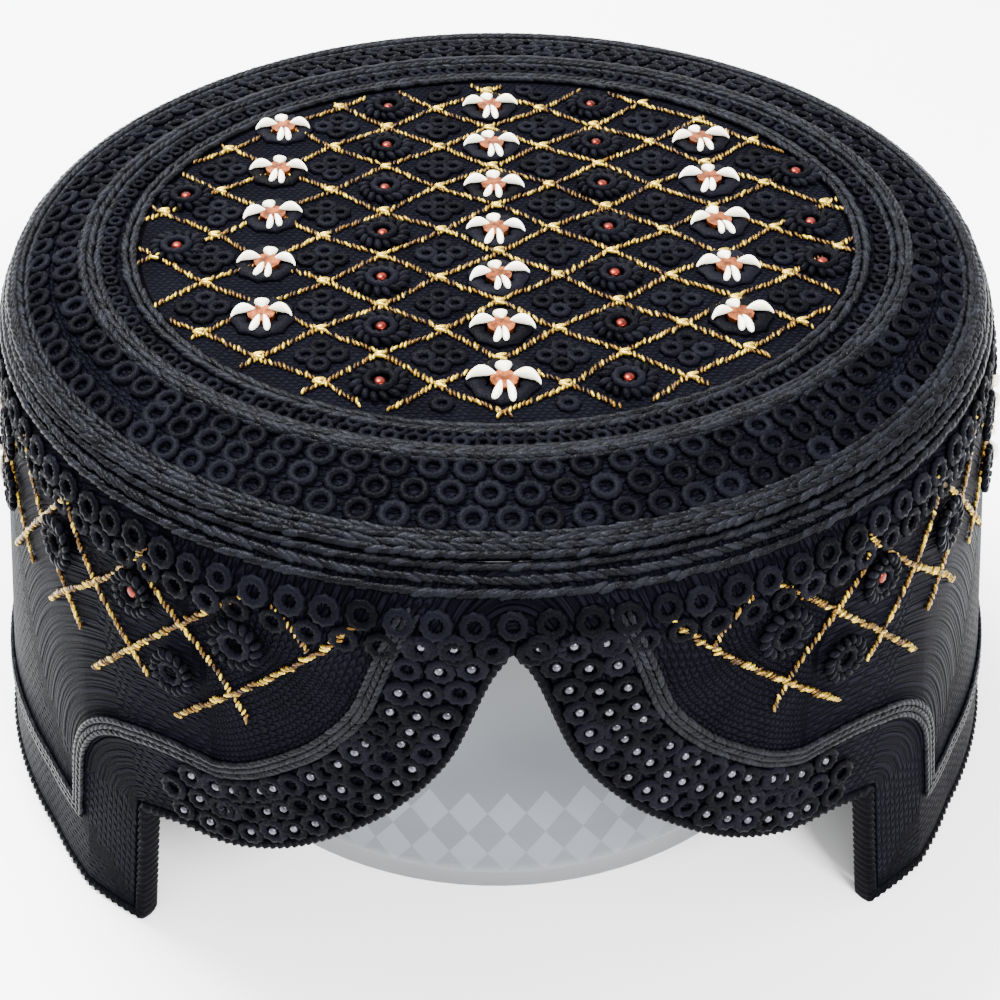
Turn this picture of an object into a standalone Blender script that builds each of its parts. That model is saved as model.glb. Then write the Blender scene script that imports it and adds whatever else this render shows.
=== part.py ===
"""Sindhi cap with an embroidered crown and a cusped front arch, on an upturned glass bowl.

Metres, +Z up. The arch faces -Y, and the hem and the bowl's rim stand on the plane z = 0.
Angles round the cap are measured from the front, with +X at +90 degrees.
"""

import math

import bmesh
import bpy

# Wall of the cap
SHOULDER_RADIUS = 0.084
SHOULDER_HEIGHT = 0.081
SHOULDER_TURN = math.radians(60.0)
HEM_RADIUS = 0.094
RIM_HEIGHT = 0.091
RIM_INSET_X = 0.003
RIM_INSET_Y = 0.007
RIM_RADIUS_X = SHOULDER_RADIUS - RIM_INSET_X
RIM_RADIUS_Y = SHOULDER_RADIUS - RIM_INSET_Y
CROWN_HEIGHT = 0.095
CLOTH = 0.003
GAP = 0.0003

# Hem plan from the front round to the back: angle in degrees, radius in hem radii
HEM_PLAN = (
    (0.0, 0.920),
    (12.0, 0.925),
    (25.0, 0.950),
    (36.0, 0.985),
    (45.0, 1.000),
    (58.0, 1.010),
    (75.0, 1.018),
    (90.0, 1.010),
    (120.0, 0.975),
    (150.0, 0.940),
    (180.0, 0.920),
)

# Storage folds that lead down to the two front points
FOLD_ANGLE = math.radians(50.0)
FOLD_SPREAD = math.radians(9.0)
FOLD_RISE = 0.0016

# Front arch: angle in half arches, height in arch heights
ARCH_HALF_ANGLE = math.radians(42.2)
ARCH_HEIGHT = 0.0795
ARCH = (
    (0.000, 1.000),
    (0.050, 0.930),
    (0.143, 0.730),
    (0.274, 0.582),
    (0.405, 0.487),
    (0.555, 0.407),
    (0.714, 0.366),
    (0.860, 0.368),
    (0.972, 0.345),
)
ARCH_STEPS = 20
DROP_STEPS = 3
HEM_STEPS = 18

# Braid over the cut edge: share across its width, share through its thickness
BINDING_WIDTH = 0.0022
BINDING_COVER = 0.0006
BINDING_SECTION = (
    (0.00, 0.22),
    (0.00, 0.78),
    (0.40, 1.00),
    (1.00, 1.00),
    (1.00, 0.00),
    (0.40, 0.00),
)
MITRE_LIMIT = 1.6

# Wall rows, as shares of the way from the edge up to the seam
WALL_ROWS = (0.0, 0.12, 0.26, 0.40, 0.54, 0.66, 0.76, 0.84, 0.90, 0.95, 1.0)
STRAIGHT_SHARE = 0.8

# Crown panel
BORDER_WIDTH_X = 0.012
BORDER_WIDTH_Y = 0.017
RING_RADIUS_X = RIM_RADIUS_X - BORDER_WIDTH_X
RING_RADIUS_Y = RIM_RADIUS_Y - BORDER_WIDTH_Y
CROWN_FALL = 1.6
CROWN_ROWS = (1.0, 0.7, 0.35, 0.0)

# Cords laid on the crown: share of half the width, share of the height
RIM_CORD_WIDTH = 0.0060
RIM_CORD_HEIGHT = 0.0018
RING_CORD_WIDTH = 0.0046
RING_CORD_HEIGHT = 0.0013
BAND_WIDTH_X = 0.0065
BAND_WIDTH_Y = 0.0075
MEDALLION_RADIUS_X = RING_RADIUS_X - BAND_WIDTH_X
MEDALLION_RADIUS_Y = RING_RADIUS_Y - BAND_WIDTH_Y
MEDALLION_CORD_WIDTH = 0.0026
MEDALLION_CORD_HEIGHT = 0.0011
CORD_SECTION = (
    (-1.0, 0.0),
    (0.0, 0.0),
    (1.0, 0.0),
    (1.0, 0.4),
    (0.5, 0.9),
    (-0.5, 0.9),
    (-1.0, 0.4),
)
CROWN_SEGMENTS = 64
RIM_SEGMENTS = 80

# Mirrors in the cream flowers: column, middle in rows, spread in rows, flowers each way
COLUMN_PITCH = 0.019
ROW_PITCH = 0.014
FLOWER_COLUMNS = (
    (-2, 0.40, 1.05, 2),
    (0, 0.00, 1.00, 3),
    (2, 0.10, 0.98, 2),
)
MIRROR_RADIUS = 0.0022
MIRROR_THICKNESS = 0.0008
MIRROR_SIDES = 12

# Upturned bowl: height in bowl heights, radius in rim radii
BOWL_CLEARANCE = 0.020
BOWL_RIM_RADIUS = SHOULDER_RADIUS - BOWL_CLEARANCE
BOWL_GLASS = 0.0025
BOWL_SEGMENTS = 40
BOWL_PROFILE = (
    (0.00, 1.000),
    (0.06, 1.000),
    (0.30, 0.975),
    (0.58, 0.905),
    (0.80, 0.810),
    (0.94, 0.715),
    (1.00, 0.640),
)


def smooth_value(table, position):
    """Cubic value of a two column table at a position in its first column."""
    last = len(table) - 1
    if position >= table[last][0]:
        return table[last][1]
    index = max(row for row in range(last) if table[row][0] <= position)

    def slope(row):
        before, after = table[max(row - 1, 0)], table[min(row + 1, last)]
        return (after[1] - before[1]) / (after[0] - before[0])

    left, right = table[index], table[index + 1]
    span = right[0] - left[0]
    t = (position - left[0]) / span
    value = (1 + 2 * t) * (1 - t) ** 2 * left[1] + t * t * (3 - 2 * t) * right[1]
    return value + span * t * (1 - t) * ((1 - t) * slope(index) - t * slope(index + 1))


def on_oval(radius_x, radius_y, angle, height):
    """Point of an oval ring, at an angle from the front."""
    return (radius_x * math.sin(angle), -radius_y * math.cos(angle), height)


def wall_profile(angle, height_share):
    """Outer radii along X and Y, height and outward normal of the wall, 0 at the hem and 1 at the seam."""
    turned = math.cos(SHOULDER_TURN)
    reach_x = (SHOULDER_RADIUS - RIM_RADIUS_X) / (1 - turned)
    reach_y = (SHOULDER_RADIUS - RIM_RADIUS_Y) / (1 - turned)
    rise = (RIM_HEIGHT - SHOULDER_HEIGHT) / math.sin(SHOULDER_TURN)
    if height_share <= STRAIGHT_SHARE:
        share = height_share / STRAIGHT_SHARE
        hem = HEM_RADIUS * smooth_value(HEM_PLAN, abs(math.degrees(angle)))
        fold = FOLD_RISE * max(0.0, 1 - abs(abs(angle) - FOLD_ANGLE) / FOLD_SPREAD) * (1 - share)
        radius = hem + (SHOULDER_RADIUS - hem) * share + fold
        return radius, radius, SHOULDER_HEIGHT * share, 1.0, 0.0
    turn = SHOULDER_TURN * (height_share - STRAIGHT_SHARE) / (1 - STRAIGHT_SHARE)
    reach = (reach_x + reach_y) / 2
    out, up = rise * math.cos(turn), reach * math.sin(turn)
    length = math.hypot(out, up)
    radius_x = SHOULDER_RADIUS - reach_x * (1 - math.cos(turn))
    radius_y = SHOULDER_RADIUS - reach_y * (1 - math.cos(turn))
    height = SHOULDER_HEIGHT + rise * math.sin(turn)
    return radius_x, radius_y, height, out / length, up / length


def wall_point(angle, height_share, depth):
    """Point of the wall at a depth below its outer face."""
    radius_x, radius_y, height, out, up = wall_profile(angle, height_share)
    return on_oval(radius_x - depth * out, radius_y - depth * out, angle, height - depth * up)


def share_of_height(height):
    """Height share of the wall at a height above the table."""
    if height <= SHOULDER_HEIGHT:
        return STRAIGHT_SHARE * height / SHOULDER_HEIGHT
    rise = (RIM_HEIGHT - SHOULDER_HEIGHT) / math.sin(SHOULDER_TURN)
    turn = math.asin((height - SHOULDER_HEIGHT) / rise)
    return STRAIGHT_SHARE + (1 - STRAIGHT_SHARE) * turn / SHOULDER_TURN


def edge_outline():
    """Lower edge of the cap, unrolled: length along the wall and height, from the back round to the back."""
    half = []
    for step in range(ARCH_STEPS + 1):
        share = ARCH[-1][0] * (step / ARCH_STEPS) ** 1.25
        half.append((share * ARCH_HALF_ANGLE, ARCH_HEIGHT * smooth_value(ARCH, share)))
    notch_angle, notch_height = half[-1]
    for step in range(1, DROP_STEPS + 1):
        share = step / DROP_STEPS
        angle = notch_angle + (ARCH_HALF_ANGLE - notch_angle) * share
        half.append((angle, notch_height * (1 - share)))
    hem_angles = [ARCH_HALF_ANGLE + (math.pi - ARCH_HALF_ANGLE) * step / HEM_STEPS for step in range(1, HEM_STEPS + 1)]
    nearest = min(range(HEM_STEPS), key=lambda step: abs(hem_angles[step] - FOLD_ANGLE))
    hem_angles[nearest] = FOLD_ANGLE
    half.extend((angle, 0.0) for angle in hem_angles)
    mirrored = [(-angle, height) for angle, height in reversed(half[1:-1])]
    return [(HEM_RADIUS * angle, height) for angle, height in mirrored + half]


def inset_outline(outline, distance):
    """The edge outline moved up into the cloth by a distance, with mitred corners."""
    lap = 2 * math.pi * HEM_RADIUS
    count = len(outline)
    moved = []
    for index, (along, height) in enumerate(outline):
        before = outline[index - 1]
        after = outline[(index + 1) % count]
        into = (along - before[0] + (lap if index == 0 else 0.0), height - before[1])
        leave = (after[0] - along + (lap if index == count - 1 else 0.0), after[1] - height)
        first = math.hypot(*into)
        second = math.hypot(*leave)
        normal = (-into[1] / first - leave[1] / second, into[0] / first + leave[0] / second)
        length = math.hypot(*normal)
        mitre = min(2 / length, MITRE_LIMIT)
        moved.append((along + distance * mitre * normal[0] / length, height + distance * mitre * normal[1] / length))
    return moved


def crown_height(share):
    """Height of the crown between the ring, at 0, and the seam, at 1."""
    return CROWN_HEIGHT - (CROWN_HEIGHT - RIM_HEIGHT) * share ** CROWN_FALL


def crown_edge(depth):
    """Oval of the crown panel's cut edge at a depth below its top face, clear of the wall."""
    radius_x, radius_y, height, out, up = wall_profile(math.pi / 2, 1.0)
    inward = depth * out + GAP
    return radius_x - inward, radius_y - inward, height - depth * up


def skin(name, loops, closed):
    """Mesh object over equal loops of points, joined end to end or capped at both ends."""
    mesh = bmesh.new()
    rows = [[mesh.verts.new(point) for point in loop] for loop in loops]
    count = len(rows[0])
    pairs = list(zip(rows, rows[1:] + rows[:1])) if closed else list(zip(rows, rows[1:]))
    for low, high in pairs:
        for index in range(count):
            following = (index + 1) % count
            mesh.faces.new((low[index], low[following], high[following], high[index]))
    if not closed:
        mesh.faces.new(rows[0])
        mesh.faces.new(rows[-1])
    bmesh.ops.recalc_face_normals(mesh, faces=mesh.faces)
    if mesh.calc_volume(signed=True) < 0:
        bmesh.ops.reverse_faces(mesh, faces=mesh.faces)
    data = bpy.data.meshes.new(name)
    mesh.to_mesh(data)
    mesh.free()
    made = bpy.data.objects.new(name, data)
    bpy.context.scene.collection.objects.link(made)
    return made


def finish(made, colour, roughness, metallic=0.0):
    """Gives an object its own plain material."""
    material = bpy.data.materials.new(made.name)
    material.use_nodes = True
    shader = material.node_tree.nodes["Principled BSDF"]
    shader.inputs["Base Color"].default_value = (*colour, 1.0)
    shader.inputs["Roughness"].default_value = roughness
    shader.inputs["Metallic"].default_value = metallic
    made.data.materials.append(material)
    return made


def side_band():
    """Wall of the cap, from the braid round its edge up to the seam."""
    edge = inset_outline(edge_outline(), BINDING_WIDTH + GAP)
    loops = []
    for depth, rows in ((0.0, WALL_ROWS), (CLOTH, WALL_ROWS[::-1])):
        for row in rows:
            loop = []
            for along, height in edge:
                low = share_of_height(height)
                loop.append(wall_point(along / HEM_RADIUS, low + (1 - low) * row, depth))
            loops.append(loop)
    return skin("side_band", loops, closed=True)


def edge_binding():
    """Braid that binds the hem, the front points and the arch."""
    outer = edge_outline()
    inner = inset_outline(outer, BINDING_WIDTH)
    loops = []
    for across, through in BINDING_SECTION:
        depth = -BINDING_COVER + through * (CLOTH + 2 * BINDING_COVER)
        loop = []
        for low, high in zip(outer, inner):
            angle = (low[0] + (high[0] - low[0]) * across) / HEM_RADIUS
            height = low[1] + (high[1] - low[1]) * across
            loop.append(wall_point(angle, share_of_height(height), depth))
        loops.append(loop)
    return skin("edge_binding", loops, closed=True)


def crown():
    """Top panel: flat inside the ring, falling to the seam with the wall."""
    angles = [2 * math.pi * step / CROWN_SEGMENTS for step in range(CROWN_SEGMENTS)]
    edge_top = crown_edge(0.0)
    edge_low = crown_edge(CLOTH)
    loops = [[on_oval(RING_RADIUS_X, RING_RADIUS_Y, angle, CROWN_HEIGHT) for angle in angles]]
    for edge, depth, shares in ((edge_top, 0.0, CROWN_ROWS[-2::-1]), (edge_low, CLOTH, CROWN_ROWS)):
        for share in shares:
            radius_x = RING_RADIUS_X + (edge[0] - RING_RADIUS_X) * share
            radius_y = RING_RADIUS_Y + (edge[1] - RING_RADIUS_Y) * share
            height = edge[2] if share == 1.0 else crown_height(share) - depth
            loops.append([on_oval(radius_x, radius_y, angle, height) for angle in angles])
    return skin("crown", loops, closed=False)


def slope_width(angle):
    """Width of the crown's sloping border at an angle."""
    edge_x, edge_y = crown_edge(0.0)[:2]
    return math.hypot((edge_x - RING_RADIUS_X) * math.sin(angle), (edge_y - RING_RADIUS_Y) * math.cos(angle))


def crown_point(angle, beyond_ring, lift):
    """Point over the crown at a distance outside its ring, 0 on the ring itself."""
    edge_x, edge_y = crown_edge(0.0)[:2]
    share = beyond_ring / slope_width(angle)
    radius_x = RING_RADIUS_X + (edge_x - RING_RADIUS_X) * share
    radius_y = RING_RADIUS_Y + (edge_y - RING_RADIUS_Y) * share
    return on_oval(radius_x, radius_y, angle, crown_height(max(share, 0.0)) + lift)


def rim_cord():
    """Bundle of cords over the seam, half on the crown and half on the wall's shoulder."""
    half = RIM_CORD_WIDTH / 2
    mean_radius = (RIM_RADIUS_X + RIM_RADIUS_Y) / 2
    shoulder_length = math.hypot(RIM_HEIGHT - SHOULDER_HEIGHT, SHOULDER_RADIUS - mean_radius)
    turn_share = (1 - STRAIGHT_SHARE) * half / shoulder_length
    loops = []
    for across, rise in CORD_SECTION:
        lift = GAP + rise * RIM_CORD_HEIGHT
        loop = []
        for step in range(RIM_SEGMENTS):
            angle = 2 * math.pi * step / RIM_SEGMENTS
            if across < 0:
                loop.append(crown_point(angle, slope_width(angle) + across * half, lift))
            else:
                loop.append(wall_point(angle, 1 - turn_share * across, -lift))
        loops.append(loop)
    return skin("rim_cord", loops, closed=True)


def ring_cord():
    """Bundle of cords between the plain and the sloping border of the crown."""
    loops = []
    for across, rise in CORD_SECTION:
        shift = across * RING_CORD_WIDTH / 2
        lift = GAP + rise * RING_CORD_HEIGHT
        angles = [2 * math.pi * step / CROWN_SEGMENTS for step in range(CROWN_SEGMENTS)]
        loops.append([crown_point(angle, shift, lift) for angle in angles])
    return skin("ring_cord", loops, closed=True)


def medallion_cord():
    """Thin cord that bounds the gold lattice on the flat of the crown."""
    loops = []
    for across, rise in CORD_SECTION:
        shift = across * MEDALLION_CORD_WIDTH / 2
        level = CROWN_HEIGHT + GAP + rise * MEDALLION_CORD_HEIGHT
        radius_x, radius_y = MEDALLION_RADIUS_X + shift, MEDALLION_RADIUS_Y + shift
        angles = [2 * math.pi * step / CROWN_SEGMENTS for step in range(CROWN_SEGMENTS)]
        loops.append([on_oval(radius_x, radius_y, angle, level) for angle in angles])
    return skin("medallion_cord", loops, closed=True)


def flower_mirrors():
    """Small round mirrors in the cream flowers of the crown."""
    places = []
    for column, middle, spread, each_way in FLOWER_COLUMNS:
        for row in range(each_way, -each_way - 1, -1):
            places.append((column * COLUMN_PITCH, (middle + spread * row) * ROW_PITCH))
    made = []
    for number, (x, y) in enumerate(places, start=1):
        loops = []
        for lift in (GAP, GAP + MIRROR_THICKNESS):
            loop = []
            for side in range(MIRROR_SIDES):
                across, along, level = on_oval(MIRROR_RADIUS, MIRROR_RADIUS, 2 * math.pi * side / MIRROR_SIDES, lift)
                loop.append((x + across, y + along, CROWN_HEIGHT + level))
            loops.append(loop)
        made.append(skin(f"flower_mirror_{number:02d}", loops, closed=False))
    return made


def glass_bowl():
    """Upturned bowl under the crown, open towards the table."""
    bowl_height = CROWN_HEIGHT - CLOTH - GAP
    outer = [(share * bowl_height, radius * BOWL_RIM_RADIUS) for share, radius in BOWL_PROFILE]
    inner = [(height * (bowl_height - BOWL_GLASS) / bowl_height, radius - BOWL_GLASS) for height, radius in outer]
    angles = [2 * math.pi * step / BOWL_SEGMENTS for step in range(BOWL_SEGMENTS)]
    profile = outer[::-1] + inner
    loops = [[on_oval(radius, radius, angle, height) for angle in angles] for height, radius in profile]
    return skin("glass_bowl", loops, closed=False)


def main():
    """Builds the cap and its bowl in an emptied scene."""
    for old in list(bpy.data.objects):
        bpy.data.objects.remove(old, do_unlink=True)
    finish(side_band(), (0.020, 0.021, 0.032), 0.85)
    finish(crown(), (0.022, 0.023, 0.034), 0.85)
    finish(edge_binding(), (0.012, 0.012, 0.018), 0.7)
    finish(rim_cord(), (0.055, 0.060, 0.085), 0.5)
    finish(ring_cord(), (0.055, 0.060, 0.085), 0.5)
    finish(medallion_cord(), (0.030, 0.031, 0.045), 0.6)
    for mirror in flower_mirrors():
        finish(mirror, (0.75, 0.36, 0.20), 0.12, metallic=1.0)
    finish(glass_bowl(), (0.62, 0.67, 0.72), 0.15)


main()
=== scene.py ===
import sys
import logging
import math
import random
from dataclasses import dataclass, field
from enum import Enum
from typing import Callable, Sequence

import bmesh
import bpy
import numpy as np
from mathutils import Matrix, Vector


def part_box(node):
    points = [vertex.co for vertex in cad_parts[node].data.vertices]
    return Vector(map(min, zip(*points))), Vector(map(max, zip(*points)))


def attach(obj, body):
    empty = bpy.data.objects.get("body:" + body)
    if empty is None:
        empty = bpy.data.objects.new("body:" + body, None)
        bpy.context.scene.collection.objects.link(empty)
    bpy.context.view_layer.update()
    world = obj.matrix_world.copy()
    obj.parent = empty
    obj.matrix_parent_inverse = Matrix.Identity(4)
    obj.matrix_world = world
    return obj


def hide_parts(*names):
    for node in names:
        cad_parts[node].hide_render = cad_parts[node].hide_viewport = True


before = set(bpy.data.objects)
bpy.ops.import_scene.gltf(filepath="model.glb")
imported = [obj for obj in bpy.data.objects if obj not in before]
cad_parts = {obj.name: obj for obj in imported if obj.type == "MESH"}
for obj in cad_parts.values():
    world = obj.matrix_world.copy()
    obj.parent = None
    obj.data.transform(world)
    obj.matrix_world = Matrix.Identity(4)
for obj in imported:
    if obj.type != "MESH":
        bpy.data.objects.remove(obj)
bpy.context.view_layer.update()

log = logging.getLogger("sindhi_cap")

MM = 0.001
UP = Vector((0.0, 0.0, 1.0))
Place = tuple[Vector, Vector]
Colour = tuple[float, float, float]


class RosetteArea(Enum):
    """Which part of the cap a set of rosettes is sewn on."""

    CROWN = "crown"
    WALL = "wall"


# Node helpers


@dataclass
class Graph:
    """Short way of writing one material's nodes."""

    material: bpy.types.Material

    def node(self, kind: str, **settings: object) -> bpy.types.Node:
        """Adds a node and sets its properties.

        Args:
            kind: The node's type.
            **settings: Its properties.

        Returns:
            The node.
        """
        made = self.material.node_tree.nodes.new(kind)
        for name, value in settings.items():
            setattr(made, name, value)
        return made

    def link(self, source: bpy.types.NodeSocket, target: bpy.types.NodeSocket) -> None:
        """Joins two sockets."""
        self.material.node_tree.links.new(source, target)

    def math(
        self, kind: str, first: object, second: object = 0.0, third: object = 0.0
    ) -> bpy.types.NodeSocket:
        """One step of arithmetic on sockets or plain numbers.

        Args:
            kind: The Math node's operation.
            first: Socket or number.
            second: Socket or number.
            third: Socket or number, for operations of three inputs.

        Returns:
            The result's socket.
        """
        step = self.node("ShaderNodeMath", operation=kind)
        for index, value in enumerate((first, second, third)):
            if isinstance(value, bpy.types.NodeSocket):
                self.link(value, step.inputs[index])
            else:
                step.inputs[index].default_value = value
        return step.outputs[0]

    def ramp(
        self, value: bpy.types.NodeSocket, stops: Sequence[tuple[float, Colour]]
    ) -> bpy.types.NodeSocket:
        """Colour ramp over a value.

        Args:
            value: The value's socket.
            stops: Positions and colours, in order.

        Returns:
            The colour's socket.
        """
        made = self.node("ShaderNodeValToRGB")
        made.color_ramp.elements[0].position = stops[0][0]
        made.color_ramp.elements[0].color = (*stops[0][1], 1.0)
        made.color_ramp.elements[1].position = stops[-1][0]
        made.color_ramp.elements[1].color = (*stops[-1][1], 1.0)
        for position, colour in stops[1:-1]:
            made.color_ramp.elements.new(position).color = (*colour, 1.0)
        self.link(value, made.inputs[0])
        return made.outputs[0]

    def noise(self, vector: bpy.types.NodeSocket, scale: float, detail: float = 3.0) -> bpy.types.NodeSocket:
        """Noise value over a vector.

        Args:
            vector: The vector's socket.
            scale: Patches to the unit of the vector.
            detail: Levels of finer patches.

        Returns:
            The value's socket.
        """
        made = self.node("ShaderNodeTexNoise")
        made.inputs["Scale"].default_value = scale
        made.inputs["Detail"].default_value = detail
        self.link(vector, made.inputs["Vector"])
        return made.outputs["Fac"]

    def bump(
        self, height: bpy.types.NodeSocket, distance: float, strength: float = 1.0
    ) -> bpy.types.NodeSocket:
        """Bump normal from a height.

        Args:
            height: The height's socket.
            distance: Metres that a height of one stands for.
            strength: Share of the bump that shows.

        Returns:
            The normal's socket.
        """
        made = self.node("ShaderNodeBump")
        made.inputs["Distance"].default_value = distance
        made.inputs["Strength"].default_value = strength
        self.link(height, made.inputs["Height"])
        return made.outputs["Normal"]


def new_material(name: str) -> tuple[Graph, bpy.types.Node]:
    """Empty material with its Principled shader.

    Args:
        name: The material's name.

    Returns:
        The material's graph and its shader.
    """
    material = bpy.data.materials.new(name)
    material.use_nodes = True
    return Graph(material), material.node_tree.nodes["Principled BSDF"]


# Finishes


@dataclass(frozen=True)
class ThreadFinish:
    """Twisted embroidery thread, one tone to each stitch."""

    name: str
    dark: Colour
    middle: Colour
    light: Colour
    roughness: float = 0.5
    metallic: float = 0.0
    specular: float = 0.5
    ply: float = 0.00012

    def material(self) -> bpy.types.Material:
        """Builds the thread's material.

        Returns:
            A material that reads the stitches' own tone attribute.
        """
        graph, shader = new_material(self.name)
        tone = graph.node("ShaderNodeAttribute", attribute_name="tone")
        place = graph.node("ShaderNodeTexCoord").outputs["Object"]
        fibre = graph.noise(place, 3200.0, 2.0)
        lightness = graph.math("MULTIPLY_ADD", tone.outputs["Fac"], 0.9, -0.2)
        value = graph.math("MULTIPLY_ADD", fibre, 0.5, lightness)
        stops = ((0.0, self.dark), (0.5, self.middle), (1.0, self.light))
        graph.link(graph.ramp(value, stops), shader.inputs["Base Color"])
        graph.link(graph.math("MULTIPLY_ADD", fibre, 0.2, self.roughness - 0.1), shader.inputs["Roughness"])
        shader.inputs["Metallic"].default_value = self.metallic
        shader.inputs["Specular IOR Level"].default_value = self.specular
        graph.link(graph.bump(fibre, self.ply, 0.7), shader.inputs["Normal"])
        return graph.material


@dataclass(frozen=True)
class StitchedCloth:
    """Cloth covered with rows of small black chain stitches, laid out by its UV map in millimetres, with
    painted shade in the grooves between them.
    """

    name: str
    row_pitch: float = 1.15
    stitch_length: float = 1.9
    depth: float = 0.00045
    # dark is the painted shade colour of the grooves; light is the colour of the loops' tops.
    dark: Colour = (0.0002, 0.0002, 0.0004)
    light: Colour = (0.0042, 0.0042, 0.0072)
    roughness: float = 0.42
    specular: float = 0.004

    def material(self) -> bpy.types.Material:
        """Builds the stitched cloth's material.

        Returns:
            A material with rows of chain loops in its bump, and painted shade in its colour that darkens the
            grooves between loops and rows.
        """
        graph, shader = new_material(self.name)
        flat = graph.node("ShaderNodeUVMap", uv_map="rows").outputs["UV"]
        split = graph.node("ShaderNodeSeparateXYZ")
        graph.link(flat, split.inputs[0])
        wander = graph.math("MULTIPLY_ADD", graph.noise(flat, 0.55, 2.0), 1.1, -0.55)
        along = split.outputs[0]
        across = graph.math("DIVIDE", graph.math("ADD", split.outputs[1], wander), self.row_pitch)
        cell = graph.math("FRACT", across)
        row = graph.math("FLOOR", across)
        side = graph.math("ABSOLUTE", graph.math("MULTIPLY_ADD", cell, 2.0, -1.0))
        arc = graph.math("SUBTRACT", 1.0, graph.math("POWER", side, 2.0))
        ridge = graph.math("SQRT", graph.math("MAXIMUM", arc, 0.0))
        phase = graph.math("MULTIPLY_ADD", row, 0.618, graph.math("DIVIDE", along, self.stitch_length))
        bent = graph.math("MULTIPLY_ADD", side, 0.45, phase)
        loop = graph.math("SINE", graph.math("MULTIPLY", bent, 2 * math.pi))
        height = graph.math("MULTIPLY", ridge, graph.math("MULTIPLY_ADD", loop, 0.34, 0.66))
        fibre = graph.noise(graph.node("ShaderNodeTexCoord").outputs["Object"], 2600.0, 3.0)
        height = graph.math("MULTIPLY_ADD", fibre, 0.35, height)
        # Colour follows the loops' height: painted shade darkens the grooves between loops and rows, and the
        # noise patches vary the tone at random.
        patches = graph.noise(flat, 0.09, 2.0)
        value = graph.math("MULTIPLY", height, graph.math("MULTIPLY_ADD", patches, 0.9, 0.25))
        graph.link(graph.ramp(value, ((0.12, self.dark), (1.0, self.light))), shader.inputs["Base Color"])
        graph.link(graph.math("MULTIPLY_ADD", fibre, 0.2, self.roughness - 0.1), shader.inputs["Roughness"])
        shader.inputs["Specular IOR Level"].default_value = self.specular
        graph.link(graph.bump(height, self.depth, 1.0), shader.inputs["Normal"])
        return graph.material


@dataclass(frozen=True)
class WovenLining:
    """Plain black cotton, seen inside the cap."""

    name: str = "lining_cotton"
    colour: Colour = (0.0010, 0.0010, 0.0018)

    def material(self) -> bpy.types.Material:
        """Builds the lining's material.

        Returns:
            A material with a fine weave in its bump, and painted shade in its colour that darkens the gaps
            between threads.
        """
        graph, shader = new_material(self.name)
        place = graph.node("ShaderNodeTexCoord").outputs["Object"]
        weft = graph.node("ShaderNodeTexWave", bands_direction="Z")
        warp = graph.node("ShaderNodeTexWave", bands_direction="X")
        for thread in (weft, warp):
            thread.inputs["Scale"].default_value = 420.0
            thread.inputs["Distortion"].default_value = 0.6
            graph.link(place, thread.inputs["Vector"])
        height = graph.math("MAXIMUM", weft.outputs["Fac"], warp.outputs["Fac"])
        # Colour follows the weave's height: painted shade darkens the gaps between threads, and the noise
        # varies the tone at random.
        value = graph.math("MULTIPLY", height, graph.noise(place, 60.0))
        lighter = tuple(channel * 2.2 for channel in self.colour)
        graph.link(graph.ramp(value, ((0.1, self.colour), (0.8, lighter))), shader.inputs["Base Color"])
        shader.inputs["Roughness"].default_value = 0.85
        shader.inputs["Specular IOR Level"].default_value = 0.0
        graph.link(graph.bump(height, 0.0001, 0.6), shader.inputs["Normal"])
        return graph.material


@dataclass(frozen=True)
class MirrorFinish:
    """Small old mirror with a copper cast and a few dull patches."""

    name: str
    colour: Colour
    roughness: float = 0.12

    def material(self) -> bpy.types.Material:
        """Builds the mirror's material.

        Returns:
            A metallic material with dull patches.
        """
        graph, shader = new_material(self.name)
        place = graph.node("ShaderNodeTexCoord").outputs["Object"]
        cloud = graph.noise(place, 900.0)
        dull = tuple(channel * 0.35 for channel in self.colour)
        graph.link(graph.ramp(cloud, ((0.35, dull), (0.6, self.colour))), shader.inputs["Base Color"])
        graph.link(graph.math("MULTIPLY_ADD", cloud, 0.4, self.roughness), shader.inputs["Roughness"])
        shader.inputs["Metallic"].default_value = 0.9
        graph.link(graph.bump(cloud, 0.0001, 0.4), shader.inputs["Normal"])
        return graph.material


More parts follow.
